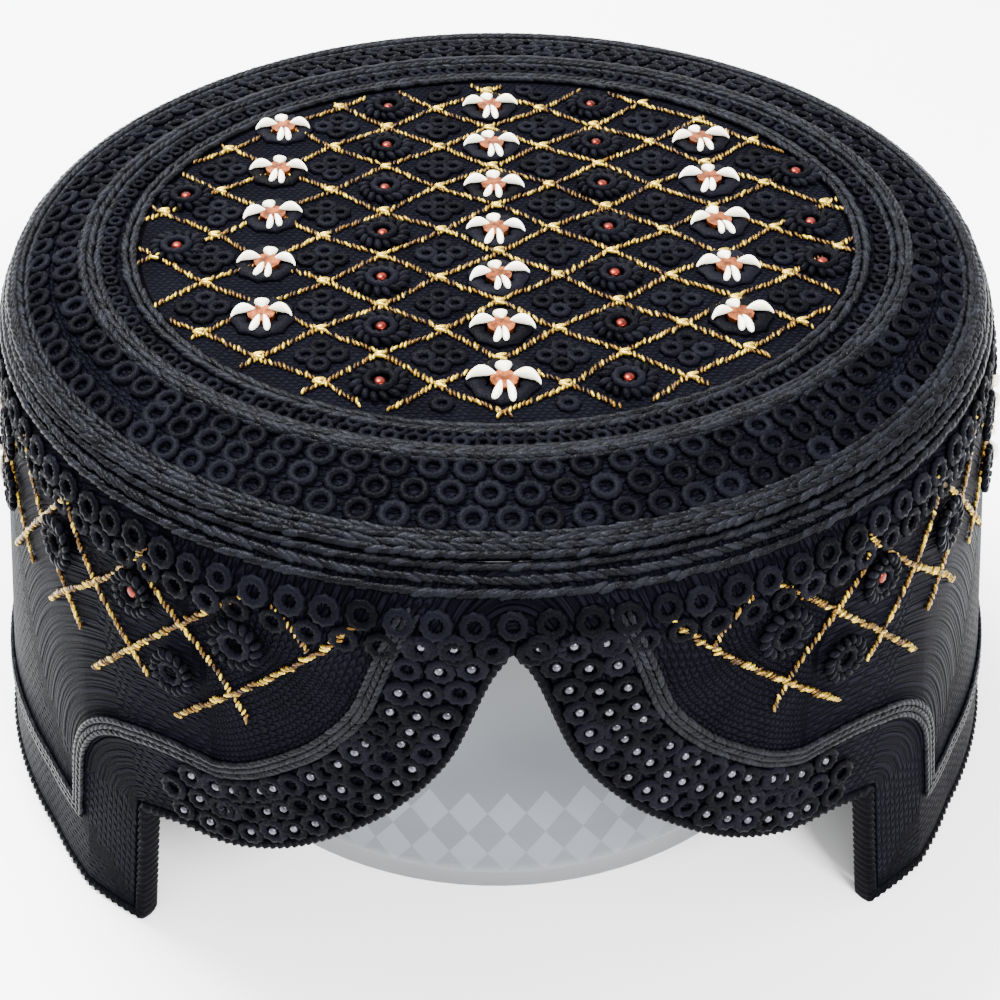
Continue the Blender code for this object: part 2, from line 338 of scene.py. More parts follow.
@dataclass(frozen=True)
class CutGlass:
    """Frosted grey glass with a band of cut diamonds above the rim. Painted shade darkens it towards the
    top, under the cap, and alternate diamonds carry painted highlights.
    """

    name: str = "cut_glass"
    around: int = 30
    band_low: float = 0.004
    band_high: float = 0.024
    painted_shade_height: float = 0.060
    # shade is the painted shade colour at the top, under the cap; shine is the lighter colour near the rim.
    shade: Colour = (0.018, 0.023, 0.031)
    shine: Colour = (0.115, 0.128, 0.148)

    def material(self) -> bpy.types.Material:
        """Builds the bowl's glass.

        Returns:
            A material whose diamonds run round the bowl in Object coordinates.
        """
        graph, shader = new_material(self.name)
        split = graph.node("ShaderNodeSeparateXYZ")
        place = graph.node("ShaderNodeTexCoord").outputs["Object"]
        graph.link(place, split.inputs[0])
        turn = graph.math("ARCTAN2", split.outputs[0], graph.math("MULTIPLY", split.outputs[1], -1.0))
        across = graph.math("MULTIPLY", turn, self.around / (2 * math.pi))
        rise = (self.band_high - self.band_low) / 2
        along = graph.math("DIVIDE", graph.math("SUBTRACT", split.outputs[2], self.band_low), rise)
        first = graph.math("FRACT", graph.math("ADD", across, graph.math("MULTIPLY", along, 0.5)))
        second = graph.math("FRACT", graph.math("SUBTRACT", across, graph.math("MULTIPLY", along, 0.5)))
        first_half = graph.math("GREATER_THAN", first, 0.5)
        second_half = graph.math("GREATER_THAN", second, 0.5)
        checker = graph.math("ABSOLUTE", graph.math("SUBTRACT", first_half, second_half))
        above = graph.math("GREATER_THAN", split.outputs[2], self.band_low)
        below = graph.math("LESS_THAN", split.outputs[2], self.band_high)
        inside = graph.math("MULTIPLY", above, below)
        facet = graph.math("MULTIPLY", checker, inside)
        cloud = graph.noise(place, 25.0)
        # Painted shade: the colour darkens with height towards the cap above the bowl.
        painted_shade_rise = graph.math("DIVIDE", split.outputs[2], self.painted_shade_height)
        # Painted highlights make alternate diamonds lighter; the cloud noise varies the tone at random.
        facet_glints_and_cloud = graph.math("MULTIPLY_ADD", facet, 0.30, graph.math("MULTIPLY", cloud, 0.2))
        value = graph.math("ADD", facet_glints_and_cloud, graph.math("MULTIPLY_ADD", painted_shade_rise, -0.55, 0.45))
        stops = ((0.0, self.shade), (0.75, self.shine))
        graph.link(graph.ramp(value, stops), shader.inputs["Base Color"])
        graph.link(graph.math("MULTIPLY_ADD", facet, 0.15, 0.10), shader.inputs["Roughness"])
        shader.inputs["Transmission Weight"].default_value = 0.12
        shader.inputs["IOR"].default_value = 1.5
        tilt = graph.math("MULTIPLY", graph.math("ABSOLUTE", graph.math("SUBTRACT", first, second)), inside)
        graph.link(graph.bump(tilt, 0.0006, 0.8), shader.inputs["Normal"])
        return graph.material


@dataclass(frozen=True)
class Palette:
    """Every finish of the cap and its bowl."""

    gold: ThreadFinish = ThreadFinish(
        "gold_zari",
        dark=(0.008, 0.002, 0.0005),
        middle=(0.11, 0.052, 0.002),
        light=(0.58, 0.41, 0.040),
        roughness=0.28,
        metallic=0.75,
    )
    cream: ThreadFinish = ThreadFinish(
        "cream_silk",
        dark=(0.45, 0.36, 0.16),
        middle=(0.80, 0.74, 0.52),
        light=(0.95, 0.93, 0.82),
        roughness=0.42,
        specular=0.3,
    )
    black: ThreadFinish = ThreadFinish(
        "black_silk",
        dark=(0.0002, 0.0002, 0.0004),
        middle=(0.0010, 0.0010, 0.0018),
        light=(0.0028, 0.0028, 0.0050),
        roughness=0.36,
        specular=0.014,
        ply=0.00022,
    )
    cord: ThreadFinish = ThreadFinish(
        "black_cord",
        dark=(0.0002, 0.0002, 0.0004),
        middle=(0.0013, 0.0014, 0.0021),
        light=(0.0058, 0.0062, 0.0088),
        roughness=0.30,
        specular=0.034,
        ply=0.00020,
    )
    wall: StitchedCloth = StitchedCloth("wall_stitching")
    border: StitchedCloth = StitchedCloth("crown_border_stitching", row_pitch=0.95, stitch_length=1.7)
    medallion: StitchedCloth = StitchedCloth(
        "medallion_stitching", row_pitch=0.8, stitch_length=1.3, depth=0.00025
    )
    lining: WovenLining = WovenLining()
    mirror: MirrorFinish = MirrorFinish("copper_mirror", (0.26, 0.062, 0.012))
    spark: MirrorFinish = MirrorFinish("red_mirror", (0.16, 0.016, 0.008))
    bead: MirrorFinish = MirrorFinish("black_bead", (0.09, 0.09, 0.11), 0.16)
    glass: CutGlass = CutGlass()


# Templates


def _arrays(mesh: bmesh.types.BMesh) -> tuple[np.ndarray, list[tuple[int, ...]]]:
    """Points and faces of a small template, which is then freed.

    Args:
        mesh: The template.

    Returns:
        Its points and its faces' corner numbers.
    """
    mesh.verts.index_update()
    points = np.array([vert.co[:] for vert in mesh.verts], float)
    faces = [tuple(vert.index for vert in face.verts) for face in mesh.faces]
    mesh.free()
    return points, faces


def stitch_template(sides: int = 6, rows: int = 4) -> bmesh.types.BMesh:
    """Slim closed grain, one unit long along X and one wide and high.

    Args:
        sides: Faces round it.
        rows: Faces from end to end.

    Returns:
        The grain's mesh.
    """
    mesh = bmesh.new()
    bmesh.ops.create_uvsphere(mesh, u_segments=sides, v_segments=rows, radius=0.5)
    bmesh.ops.rotate(mesh, verts=mesh.verts, matrix=Matrix.Rotation(math.pi / 2, 3, "Y"))
    return mesh


def ring_template(hole: float, stitches: int, ridge: float = 0.10) -> bmesh.types.BMesh:
    """Ring of buttonhole stitches, one unit across, lying in the XY plane.

    Args:
        hole: Share of the width that the hole takes.
        stitches: Number of radial ridges.
        ridge: How far the ridges stand out, as a share of the ring's wire.

    Returns:
        The ring's mesh.
    """
    mesh = bmesh.new()
    wire = (1.0 - hole) / 4
    bmesh.ops.create_circle(mesh, segments=7, radius=wire)
    bmesh.ops.rotate(mesh, verts=mesh.verts, matrix=Matrix.Rotation(math.pi / 2, 3, "X"))
    bmesh.ops.translate(mesh, verts=mesh.verts, vec=(0.5 - wire, 0.0, 0.0))
    bmesh.ops.spin(
        mesh,
        geom=mesh.edges[:] + mesh.verts[:],
        cent=(0, 0, 0),
        axis=(0, 0, 1),
        angle=2 * math.pi,
        steps=stitches * 2,
        use_merge=True,
    )
    bmesh.ops.remove_doubles(mesh, verts=mesh.verts, dist=1e-5)
    middle = 0.5 - wire
    for vert in mesh.verts:
        angle = math.atan2(vert.co.y, vert.co.x)
        swell = 1 + ridge * (1 if round(angle / (math.pi / stitches)) % 2 == 0 else -1)
        radius = math.hypot(vert.co.x, vert.co.y)
        moved = middle + (radius - middle) * swell
        vert.co = (moved * math.cos(angle), moved * math.sin(angle), vert.co.z * swell)
    bmesh.ops.recalc_face_normals(mesh, faces=mesh.faces)
    return mesh


def disc_template(sides: int = 12) -> bmesh.types.BMesh:
    """Low domed disc, one unit across and one high.

    Args:
        sides: Faces round it.

    Returns:
        The disc's mesh.
    """
    mesh = bmesh.new()
    bmesh.ops.create_uvsphere(mesh, u_segments=sides, v_segments=6, radius=0.5)
    return mesh


def petal_template() -> bmesh.types.BMesh:
    """Padded petal along +X from its root, one unit long, with a raised keel.

    Returns:
        The petal's mesh.
    """
    mesh = bmesh.new()
    bmesh.ops.create_uvsphere(mesh, u_segments=12, v_segments=8, radius=0.5)
    bmesh.ops.rotate(mesh, verts=mesh.verts, matrix=Matrix.Rotation(math.pi / 2, 3, "Y"))
    for vert in mesh.verts:
        share = vert.co.x + 0.5
        vert.co.x = share
        vert.co.y *= 0.55 + 0.75 * share
        vert.co.y += 0.16 * math.sin(math.pi * share)
        vert.co.z *= 0.8 + 0.4 * math.sin(math.pi * share)
    return mesh


def crescent_template() -> bmesh.types.BMesh:
    """Curved petal arm that starts at the origin along +X and bends towards -Y, one unit long.

    Returns:
        The arm's mesh.
    """
    mesh = bmesh.new()
    bmesh.ops.create_uvsphere(mesh, u_segments=10, v_segments=12, radius=0.5)
    bmesh.ops.rotate(mesh, verts=mesh.verts, matrix=Matrix.Rotation(math.pi / 2, 3, "Y"))
    for vert in mesh.verts:
        share = vert.co.x + 0.5
        full = 0.72 + 0.5 * math.sin(math.pi * min(share * 1.25, 1.0))
        turn = math.radians(62.0) * share**1.4
        vert.co.y *= full
        vert.co.z = vert.co.z * full + 0.45 * math.sin(math.pi * share)
        vert.co.x = share * math.cos(turn * 0.55) + vert.co.y * 0.12 * math.sin(turn)
        vert.co.y += -0.62 * share * math.sin(turn * 0.8) / 0.34
    return mesh


@dataclass
class Stitchwork:
    """Copies of one small template, joined into one piece."""

    name: str
    template: bmesh.types.BMesh
    finish: bpy.types.Material
    seed: int = 1
    wander: float = 0.0
    matrices: list[Matrix] = field(default_factory=list)
    tones: list[float] = field(default_factory=list)

    def __post_init__(self) -> None:
        """Seeds the piece's own source of small differences."""
        self.chance = random.Random(self.seed)

    def lay(
        self,
        at: Vector,
        along: Vector,
        normal: Vector,
        size: Sequence[float],
        tone: float | None = None,
    ) -> None:
        """Lays one copy.

        Args:
            at: Place of the copy's middle.
            along: Direction of its length.
            normal: Direction of its height.
            size: Length, width and height in metres.
            tone: Lightness from 0 to 1, or None for a chance one.
        """
        up = normal.normalized()
        ahead = (along - up * along.dot(up)).normalized()
        side = up.cross(ahead)
        if self.wander:
            spread = self.chance.uniform(-1, 1) * self.wander
            size = [value * (1 + 0.6 * spread) for value in size]
            drift = ahead * self.chance.uniform(-1, 1) + side * self.chance.uniform(-1, 1)
            at = at + drift * self.wander * size[0] * 0.5
            ahead = Matrix.Rotation(self.chance.uniform(-1, 1) * self.wander * 1.5, 3, up) @ ahead
            side = up.cross(ahead)
        turn = Matrix((ahead * size[0], side * size[1], up * size[2])).transposed().to_4x4()
        self.matrices.append(Matrix.Translation(at) @ turn)
        self.tones.append(self.chance.uniform(0.25, 1.0) if tone is None else tone)

    def build(self) -> bpy.types.Object:
        """Joins the copies.

        Returns:
            The finished object, riding on the cap's body.
        """
        points, faces = _arrays(self.template)
        count, each = len(self.matrices), len(points)
        turns = np.array([matrix.to_3x3() for matrix in self.matrices])
        shifts = np.array([matrix.translation for matrix in self.matrices])
        placed = np.einsum("mij,nj->mni", turns, points) + shifts[:, None, :]
        joined = [tuple(corner + copy * each for corner in face) for copy in range(count) for face in faces]
        data = bpy.data.meshes.new(self.name)
        data.from_pydata(placed.reshape(-1, 3).tolist(), [], joined)
        tone = data.attributes.new("tone", "FLOAT", "POINT")
        tone.data.foreach_set("value", np.repeat(np.array(self.tones, np.float32), each))
        data.shade_smooth()
        return placed_piece(self.name, data, self.finish)


def placed_piece(name: str, data: bpy.types.Mesh, *finishes: bpy.types.Material) -> bpy.types.Object:
    """Links a finished mesh as a piece of the cap.

    Args:
        name: The piece's name.
        data: Its mesh, in place.
        finishes: Its materials.

    Returns:
        The object.
    """
    made = bpy.data.objects.new(name, data)
    bpy.context.scene.collection.objects.link(made)
    for finish in finishes:
        data.materials.append(finish)
    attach(made, "root")
    triangles = sum(len(face.vertices) - 2 for face in data.polygons)
    log.info("%s: %d triangles", name, triangles)
    return made


# The cap's form


def smooth_value(table: Sequence[tuple[float, float]], position: float) -> float:
    """Cubic value of a two column table.

    Args:
        table: Rows of position and value, in order.
        position: Where to read it.

    Returns:
        The value there.
    """
    last = len(table) - 1
    if position >= table[last][0]:
        return table[last][1]
    index = max(row for row in range(last) if table[row][0] <= position)
    slopes = []
    for row in (index, index + 1):
        before, after = table[max(row - 1, 0)], table[min(row + 1, last)]
        slopes.append((after[1] - before[1]) / (after[0] - before[0]))
    span = table[index + 1][0] - table[index][0]
    t = (position - table[index][0]) / span
    value = (1 + 2 * t) * (1 - t) ** 2 * table[index][1] + t * t * (3 - 2 * t) * table[index + 1][1]
    return value + span * t * (1 - t) * ((1 - t) * slopes[0] - t * slopes[1])


@dataclass
class CapForm:
    """The cap's outer faces, from the same named sizes as its solids."""

    shoulder_radius: float = 0.084
    shoulder_height: float = 0.081
    shoulder_turn: float = math.radians(60.0)
    hem_radius: float = 0.094
    rim_height: float = 0.091
    rim_x: float = 0.081
    rim_y: float = 0.077
    crown_height: float = 0.095
    crown_fall: float = 1.6
    ring_x: float = 0.069
    ring_y: float = 0.060
    medallion_x: float = 0.0625
    medallion_y: float = 0.0525
    cloth: float = 0.003
    gap: float = 0.0003
    straight_share: float = 0.8
    fold_angle: float = math.radians(50.0)
    fold_spread: float = math.radians(9.0)
    fold_rise: float = 0.0016
    hem_plan: tuple[tuple[float, float], ...] = (
        (0.0, 0.920),
        (12.0, 0.925),
        (25.0, 0.950),
        (36.0, 0.985),
        (45.0, 1.000),
        (58.0, 1.010),
        (75.0, 1.018),
        (90.0, 1.010),
        (120.0, 0.975),
        (150.0, 0.940),
        (180.0, 0.920),
    )

    def wall_profile(self, angle: float, share: float) -> tuple[float, float, float, float, float]:
        """Radii along X and Y, height, and outward and upward parts of the normal.

        Args:
            angle: Radians from the front.
            share: 0 at the hem and 1 at the seam.

        Returns:
            The two radii, the height and the two parts.
        """
        turned = 1 - math.cos(self.shoulder_turn)
        reach_x = (self.shoulder_radius - self.rim_x) / turned
        reach_y = (self.shoulder_radius - self.rim_y) / turned
        rise = (self.rim_height - self.shoulder_height) / math.sin(self.shoulder_turn)
        if share <= self.straight_share:
            part = share / self.straight_share
            hem = self.hem_radius * smooth_value(self.hem_plan, abs(math.degrees(angle)))
            near = max(0.0, 1 - abs(abs(angle) - self.fold_angle) / self.fold_spread)
            radius = hem + (self.shoulder_radius - hem) * part + self.fold_rise * near * (1 - part)
            return radius, radius, self.shoulder_height * part, 1.0, 0.0
        turn = self.shoulder_turn * (share - self.straight_share) / (1 - self.straight_share)
        out, up = rise * math.cos(turn), (reach_x + reach_y) / 2 * math.sin(turn)
        length = math.hypot(out, up)
        radius_x = self.shoulder_radius - reach_x * (1 - math.cos(turn))
        radius_y = self.shoulder_radius - reach_y * (1 - math.cos(turn))
        return radius_x, radius_y, self.shoulder_height + rise * math.sin(turn), out / length, up / length

    def share_of(self, height: float) -> float:
        """Height share of the wall at a height above the table.

        Args:
            height: Height in metres.

        Returns:
            The share, 0 at the hem and 1 at the seam.
        """
        if height <= self.shoulder_height:
            return self.straight_share * height / self.shoulder_height
        rise = (self.rim_height - self.shoulder_height) / math.sin(self.shoulder_turn)
        turn = math.asin(min((height - self.shoulder_height) / rise, 1.0))
        return min(self.straight_share + (1 - self.straight_share) * turn / self.shoulder_turn, 1.0)

    def wall_point(self, angle: float, share: float, depth: float = 0.0) -> Vector:
        """Point of the wall at a depth below its outer face.

        Args:
            angle: Radians from the front.
            share: 0 at the hem and 1 at the seam.
            depth: Depth into the cloth.

        Returns:
            The point.
        """
        radius_x, radius_y, height, out, up = self.wall_profile(angle, share)
        x = (radius_x - depth * out) * math.sin(angle)
        return Vector((x, -(radius_y - depth * out) * math.cos(angle), height - depth * up))

    def on_wall(self, angle: float, height: float) -> Place:
        """Outer point of the wall and its normal at an angle and a height.

        Args:
            angle: Radians from the front.
            height: Height above the table.

        Returns:
            The point and the normal.
        """
        share = self.share_of(height)
        step = 0.004
        across = self.wall_point(angle + 0.006, share) - self.wall_point(angle - 0.006, share)
        rise = self.wall_point(angle, min(share + step, 1.0)) - self.wall_point(angle, share - step)
        return self.wall_point(angle, share), across.cross(rise).normalized()

    def crown_point(self, angle: float, share: float, depth: float = 0.0) -> Vector:
        """Point of the crown at a depth below its top face.

        Args:
            angle: Radians from the front.
            share: -1 at the middle, 0 at the ring and 1 at the seam.
            depth: Depth into the cloth.

        Returns:
            The point.
        """
        inward = depth + self.gap
        edge_x, edge_y = self.rim_x - inward, self.rim_y - inward
        if share >= 0:
            radius_x = self.ring_x + (edge_x - self.ring_x) * share
            radius_y = self.ring_y + (edge_y - self.ring_y) * share
            fall = (self.crown_height - self.rim_height) * share**self.crown_fall
        else:
            radius_x, radius_y, fall = self.ring_x * (1 + share), self.ring_y * (1 + share), 0.0
        height = self.crown_height - fall - depth
        return Vector((radius_x * math.sin(angle), -radius_y * math.cos(angle), height))

    def on_crown(self, angle: float, share: float) -> Place:
        """Top point of the crown and its normal.

        Args:
            angle: Radians from the front.
            share: -1 at the middle, 0 at the ring and 1 at the seam.

        Returns:
            The point and the normal.
        """
        across = self.crown_point(angle + 0.01, share) - self.crown_point(angle - 0.01, share)
        out = self.crown_point(angle, min(share + 0.02, 1.0)) - self.crown_point(angle, share - 0.02)
        return self.crown_point(angle, share), across.cross(-out).normalized()

    def in_medallion(self, x: float, y: float, margin: float = 0.0) -> bool:
        """Whether a plan place lies inside the medallion's cord by a margin."""
        return (x / (self.medallion_x - margin)) ** 2 + (y / (self.medallion_y - margin)) ** 2 < 1.0


@dataclass
class EdgeLine:
    """The cap's lower edge, unrolled to length along the wall and height."""

    form: CapForm
    half_angle: float = math.radians(42.2)
    arch_height: float = 0.0795
    arch_steps: int = 56
    drop_steps: int = 3
    hem_steps: int = 18
    mitre_limit: float = 1.6
    arch: tuple[tuple[float, float], ...] = (
        (0.000, 1.000),
        (0.050, 0.930),
        (0.143, 0.730),
        (0.274, 0.582),
        (0.405, 0.487),
        (0.555, 0.407),
        (0.714, 0.366),
        (0.860, 0.368),
        (0.972, 0.345),
    )

    def __post_init__(self) -> None:
        """Lays out the edge from the back round to the back."""
        half: list[tuple[float, float]] = []
        for step in range(self.arch_steps + 1):
            share = self.arch[-1][0] * (step / self.arch_steps) ** 1.25
            half.append((share * self.half_angle, self.arch_height * smooth_value(self.arch, share)))
        notch_angle, notch_height = half[-1]
        for step in range(1, self.drop_steps + 1):
            share = step / self.drop_steps
            half.append((notch_angle + (self.half_angle - notch_angle) * share, notch_height * (1 - share)))
        rest = math.pi - self.half_angle
        steps = range(1, self.hem_steps + 1)
        angles = [self.half_angle + rest * step / self.hem_steps for step in steps]
        nearest = min(range(self.hem_steps), key=lambda step: abs(angles[step] - self.form.fold_angle))
        angles[nearest] = self.form.fold_angle
        half.extend((angle, 0.0) for angle in angles)
        whole = [(-angle, height) for angle, height in reversed(half[1:-1])] + half
        self.points = np.array([(self.form.hem_radius * angle, height) for angle, height in whole])
        closed = np.vstack([self.points, self.points[0] + (2 * math.pi * self.form.hem_radius, 0.0)])
        self.closed = closed
        self.lengths = np.concatenate([[0.0], np.cumsum(np.linalg.norm(np.diff(closed, axis=0), axis=1))])

    def inset(self, distance: float) -> np.ndarray:
        """The edge moved up into the cloth by a distance, with mitred corners.

        Args:
            distance: How far it moves.

        Returns:
            Rows of length along the wall and height.
        """
        lap = np.array((2 * math.pi * self.form.hem_radius, 0.0))
        padded = np.vstack([self.points[-1] - lap, self.points, self.points[0] + lap])
        legs = np.diff(padded, axis=0)
        units = legs / np.linalg.norm(legs, axis=1)[:, None]
        normals = np.column_stack([-units[:, 1], units[:, 0]])
        both = normals[:-1] + normals[1:]
        length = np.linalg.norm(both, axis=1)
        mitre = np.minimum(2 / length, self.mitre_limit)
        return self.points + distance * (mitre / length)[:, None] * both

    def nearest(self, places: np.ndarray) -> tuple[np.ndarray, np.ndarray]:
        """Distance from the edge, and length along it, of unrolled places.

        Args:
            places: Rows of length along the wall and height.

        Returns:
            The distances and the lengths.
        """
        best = np.full(len(places), 9.0)
        along = np.zeros(len(places))
        for index in range(len(self.closed) - 1):
            first, leg = self.closed[index], self.closed[index + 1] - self.closed[index]
            share = np.clip((places - first) @ leg / (leg @ leg), 0, 1)
            gap = np.linalg.norm(places - first - share[:, None] * leg, axis=1)
            closer = gap < best
            best = np.where(closer, gap, best)
            along = np.where(closer, self.lengths[index] + share * float(np.hypot(*leg)), along)
        return best, along

    def parallel(self, gap: float, start: float, stop: float) -> list[tuple[float, float]]:
        """Line a fixed distance above the edge.

        Args:
            gap: Distance from the cloth's edge.
            start: Angle where it starts, in radians.
            stop: Angle where it stops.

        Returns:
            Angles and heights of points a short step apart.
        """
        line: list[tuple[float, float]] = []
        legs = np.diff(self.closed, axis=0)
        headings = np.unwrap(np.arctan2(legs[:, 1], legs[:, 0]))
        for index, (first, leg) in enumerate(zip(self.closed[:-1], legs)):
            heading = float(headings[index])
            before = float(headings[index - 1]) if index else heading
            for turn in np.linspace(before, heading, max(1, int((before - heading) / 0.08)), endpoint=False):
                line.append((first[0] - math.sin(turn) * gap, first[1] + math.cos(turn) * gap))
            normal = np.array((-math.sin(heading), math.cos(heading)))
            for share in np.linspace(0, 1, max(2, int(float(np.hypot(*leg)) / 0.0012)), endpoint=False):
                line.append(tuple(first + leg * share + normal * gap))
        places = np.array(line)
        clear = self.nearest(places)[0] > gap * 0.985
        angles = places[:, 0] / self.form.hem_radius
        inside = clear & (angles >= start) & (angles <= stop) & (places[:, 1] < self.form.rim_height - 0.002)
        return [(float(a), float(h)) for a, h in zip(angles[inside], places[inside, 1])]


def even_steps(line: Sequence[Vector], pitch: float) -> list[tuple[Vector, Vector]]:
    """Places an even pitch apart along a line of points.

    Args:
        line: Points of the line.
        pitch: Distance between places.

    Returns:
        Place and direction pairs.
    """
    places: list[tuple[Vector, Vector]] = []
    carry = pitch / 2
    for first, second in zip(line, line[1:]):
        leg = second - first
        length = leg.length
        if length < 1e-9:
            continue
        while carry <= length:
            places.append((first + leg * (carry / length), leg / length))
            carry += pitch
        carry -= length
    return places


def mapped_sheet(
    columns: int,
    rows: int,
    place: Callable[[int, int], Vector],
    flat: Callable[[int, int], tuple[float, float]] | None = None,
    finish_of: Callable[[int], int] | None = None,
) -> bmesh.types.BMesh:
    """Grid laid onto a form, with its ends merged where they meet.

    Args:
        columns: Faces across.
        rows: Faces up.
        place: Point of each column and row.
        flat: UV place of each column and row.
        finish_of: Material number of each row of faces.

    Returns:
        The sheet's mesh.
    """
    mesh = bmesh.new()
    bmesh.ops.create_grid(mesh, x_segments=columns, y_segments=rows, size=1.0)
    where = {
        vert: (round((vert.co.x + 1) / 2 * columns), round((vert.co.y + 1) / 2 * rows))
        for vert in mesh.verts
    }
    layer = mesh.loops.layers.uv.new("rows") if flat else None
    for face in mesh.faces:
        if finish_of:
            face.material_index = finish_of(min(where[vert][1] for vert in face.verts))
        if layer:
            for loop in face.loops:
                loop[layer].uv = flat(*where[loop.vert])
    for vert, (column, row) in where.items():
        vert.co = place(column, row)
    bmesh.ops.remove_doubles(mesh, verts=mesh.verts, dist=1e-6)
    bmesh.ops.recalc_face_normals(mesh, faces=mesh.faces)
    return mesh


def mesh_data(name: str, mesh: bmesh.types.BMesh) -> bpy.types.Mesh:
    """Smooth mesh data from a bmesh, which is then freed.

    Args:
        name: The mesh's name.
        mesh: The bmesh.

    Returns:
        The mesh data.
    """
    data = bpy.data.meshes.new(name)
    mesh.to_mesh(data)
    mesh.free()
    data.shade_smooth()
    return data


# Sub-assemblies


@dataclass
class StitchedWall:
    """The wall: embroidered outside, cotton lining inside."""

    form: CapForm
    edge: EdgeLine
    palette: Palette
    inset: float = 2.5 * MM
    column_pitch: float = 2.2 * MM
    rows: int = 30
    lining_rows: int = 8

    def columns(self) -> list[tuple[float, float]]:
        """Places where the columns of the wall start.

        Returns:
            Length along the wall and height of each.
        """
        outline = self.edge.inset(self.inset)
        lap = np.array((2 * math.pi * self.form.hem_radius, 0.0))
        closed = np.vstack([outline, outline[0] + lap])
        made: list[tuple[float, float]] = []
        for first, second in zip(closed[:-1], closed[1:]):
            parts = max(1, math.ceil(float(np.hypot(*(second - first))) / self.column_pitch))
            for part in range(parts):
                point = first + (second - first) * part / parts
                made.append((float(point[0]), float(point[1])))
        made.append((float(closed[-1][0]), float(closed[-1][1])))
        return made

    def build(self) -> bpy.types.Object:
        """Builds the wall in place of its solid.

        Returns:
            The wall's object.
        """
        columns = self.columns()
        radius = self.form.hem_radius
        starts = [self.form.share_of(max(height, 0.0)) for _, height in columns]
        shares = [row / self.rows for row in range(self.rows + 1)]
        unrolled = np.array(
            [
                (along, self.height_at(low + (1 - low) * share))
                for (along, _), low in zip(columns, starts)
                for share in shares
            ]
        )
        distance, along_edge = self.edge.nearest(unrolled)
        count = self.rows + 1
        total = self.rows + 1 + self.lining_rows + 1

        def point(column: int, row: int) -> Vector:
            """Place of a vertex: up the outside, then down the lining."""
            row = 0 if row == total else row
            angle = columns[column][0] / radius
            if column == len(columns) - 1:
                angle = columns[0][0] / radius
            low = starts[column]
            if row <= self.rows:
                return self.form.wall_point(angle, low + (1 - low) * shares[row])
            share = 1 - (row - self.rows - 1) / self.lining_rows
            return self.form.wall_point(angle, low + (1 - low) * share, self.form.cloth)

        def flat(column: int, row: int) -> tuple[float, float]:
            """Length along the edge and distance from it, in millimetres."""
            index = column * count + min(row, self.rows)
            return float(along_edge[index]) / MM, float(distance[index]) / MM

        mesh = mapped_sheet(len(columns) - 1, total, point, flat, lambda row: 0 if row < self.rows else 1)
        finishes = (self.palette.wall.material(), self.palette.lining.material())
        made = placed_piece("stitched_wall", mesh_data("stitched_wall", mesh), *finishes)
        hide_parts("side_band")
        return made

    def height_at(self, share: float) -> float:
        """Height of the wall at a height share."""
        return self.form.wall_profile(math.pi / 2, share)[2]


@dataclass
class BraidedEdge:
    """Beaded black braid round the arch, the points and the hem."""

    form: CapForm
    edge: EdgeLine
    palette: Palette
    width: float = 2.2 * MM
    cover: float = 0.6 * MM
    bead_pitch: float = 1.5 * MM
    steps_a_bead: int = 3
    swell: float = 0.16
    sides: int = 10

    def build(self) -> bpy.types.Object:
        """Builds the braid in place of its solid.

        Returns:
            The braid's object.
        """
        lap = np.array((2 * math.pi * self.form.hem_radius, 0.0))
        inner = self.edge.inset(self.width)
        outer = np.vstack([self.edge.points, self.edge.points[0] + lap])
        inner = np.vstack([inner, inner[0] + lap])
        beads = int(self.edge.lengths[-1] / self.bead_pitch)
        steps = beads * self.steps_a_bead
        stations = np.linspace(0, self.edge.lengths[-1], steps + 1)
        lines = [
            np.column_stack([np.interp(stations, self.edge.lengths, line[:, side]) for side in (0, 1)])
            for line in (outer, inner)
        ]
        radius = self.form.hem_radius

        def point(column: int, row: int) -> Vector:
            """Point of the braid's rounded section."""
            column %= steps
            turn = 2 * math.pi * (row % self.sides) / self.sides
            bead = 1 - self.swell * (1 - math.cos(2 * math.pi * column / self.steps_a_bead)) / 1.5
            across = 0.5 + 0.5 * bead * math.copysign(abs(math.cos(turn)) ** 0.7, math.cos(turn))
            through = 0.5 + 0.5 * bead * math.copysign(abs(math.sin(turn)) ** 0.7, math.sin(turn))
            depth = -self.cover + through * (self.form.cloth + 2 * self.cover)
            along, height = lines[0][column] + (lines[1][column] - lines[0][column]) * across
            return self.form.wall_point(along / radius, self.form.share_of(max(height, 0.0)), depth)

        mesh = mapped_sheet(steps, self.sides, point)
        data = mesh_data("braided_edge", mesh)
        tone = data.attributes.new("tone", "FLOAT", "POINT")
        chance = random.Random(5)
        tone.data.foreach_set("value", [chance.uniform(0.15, 0.75) for _ in data.vertices])
        made = placed_piece("braided_edge", data, self.palette.black.material())
        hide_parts("edge_binding")
        return made


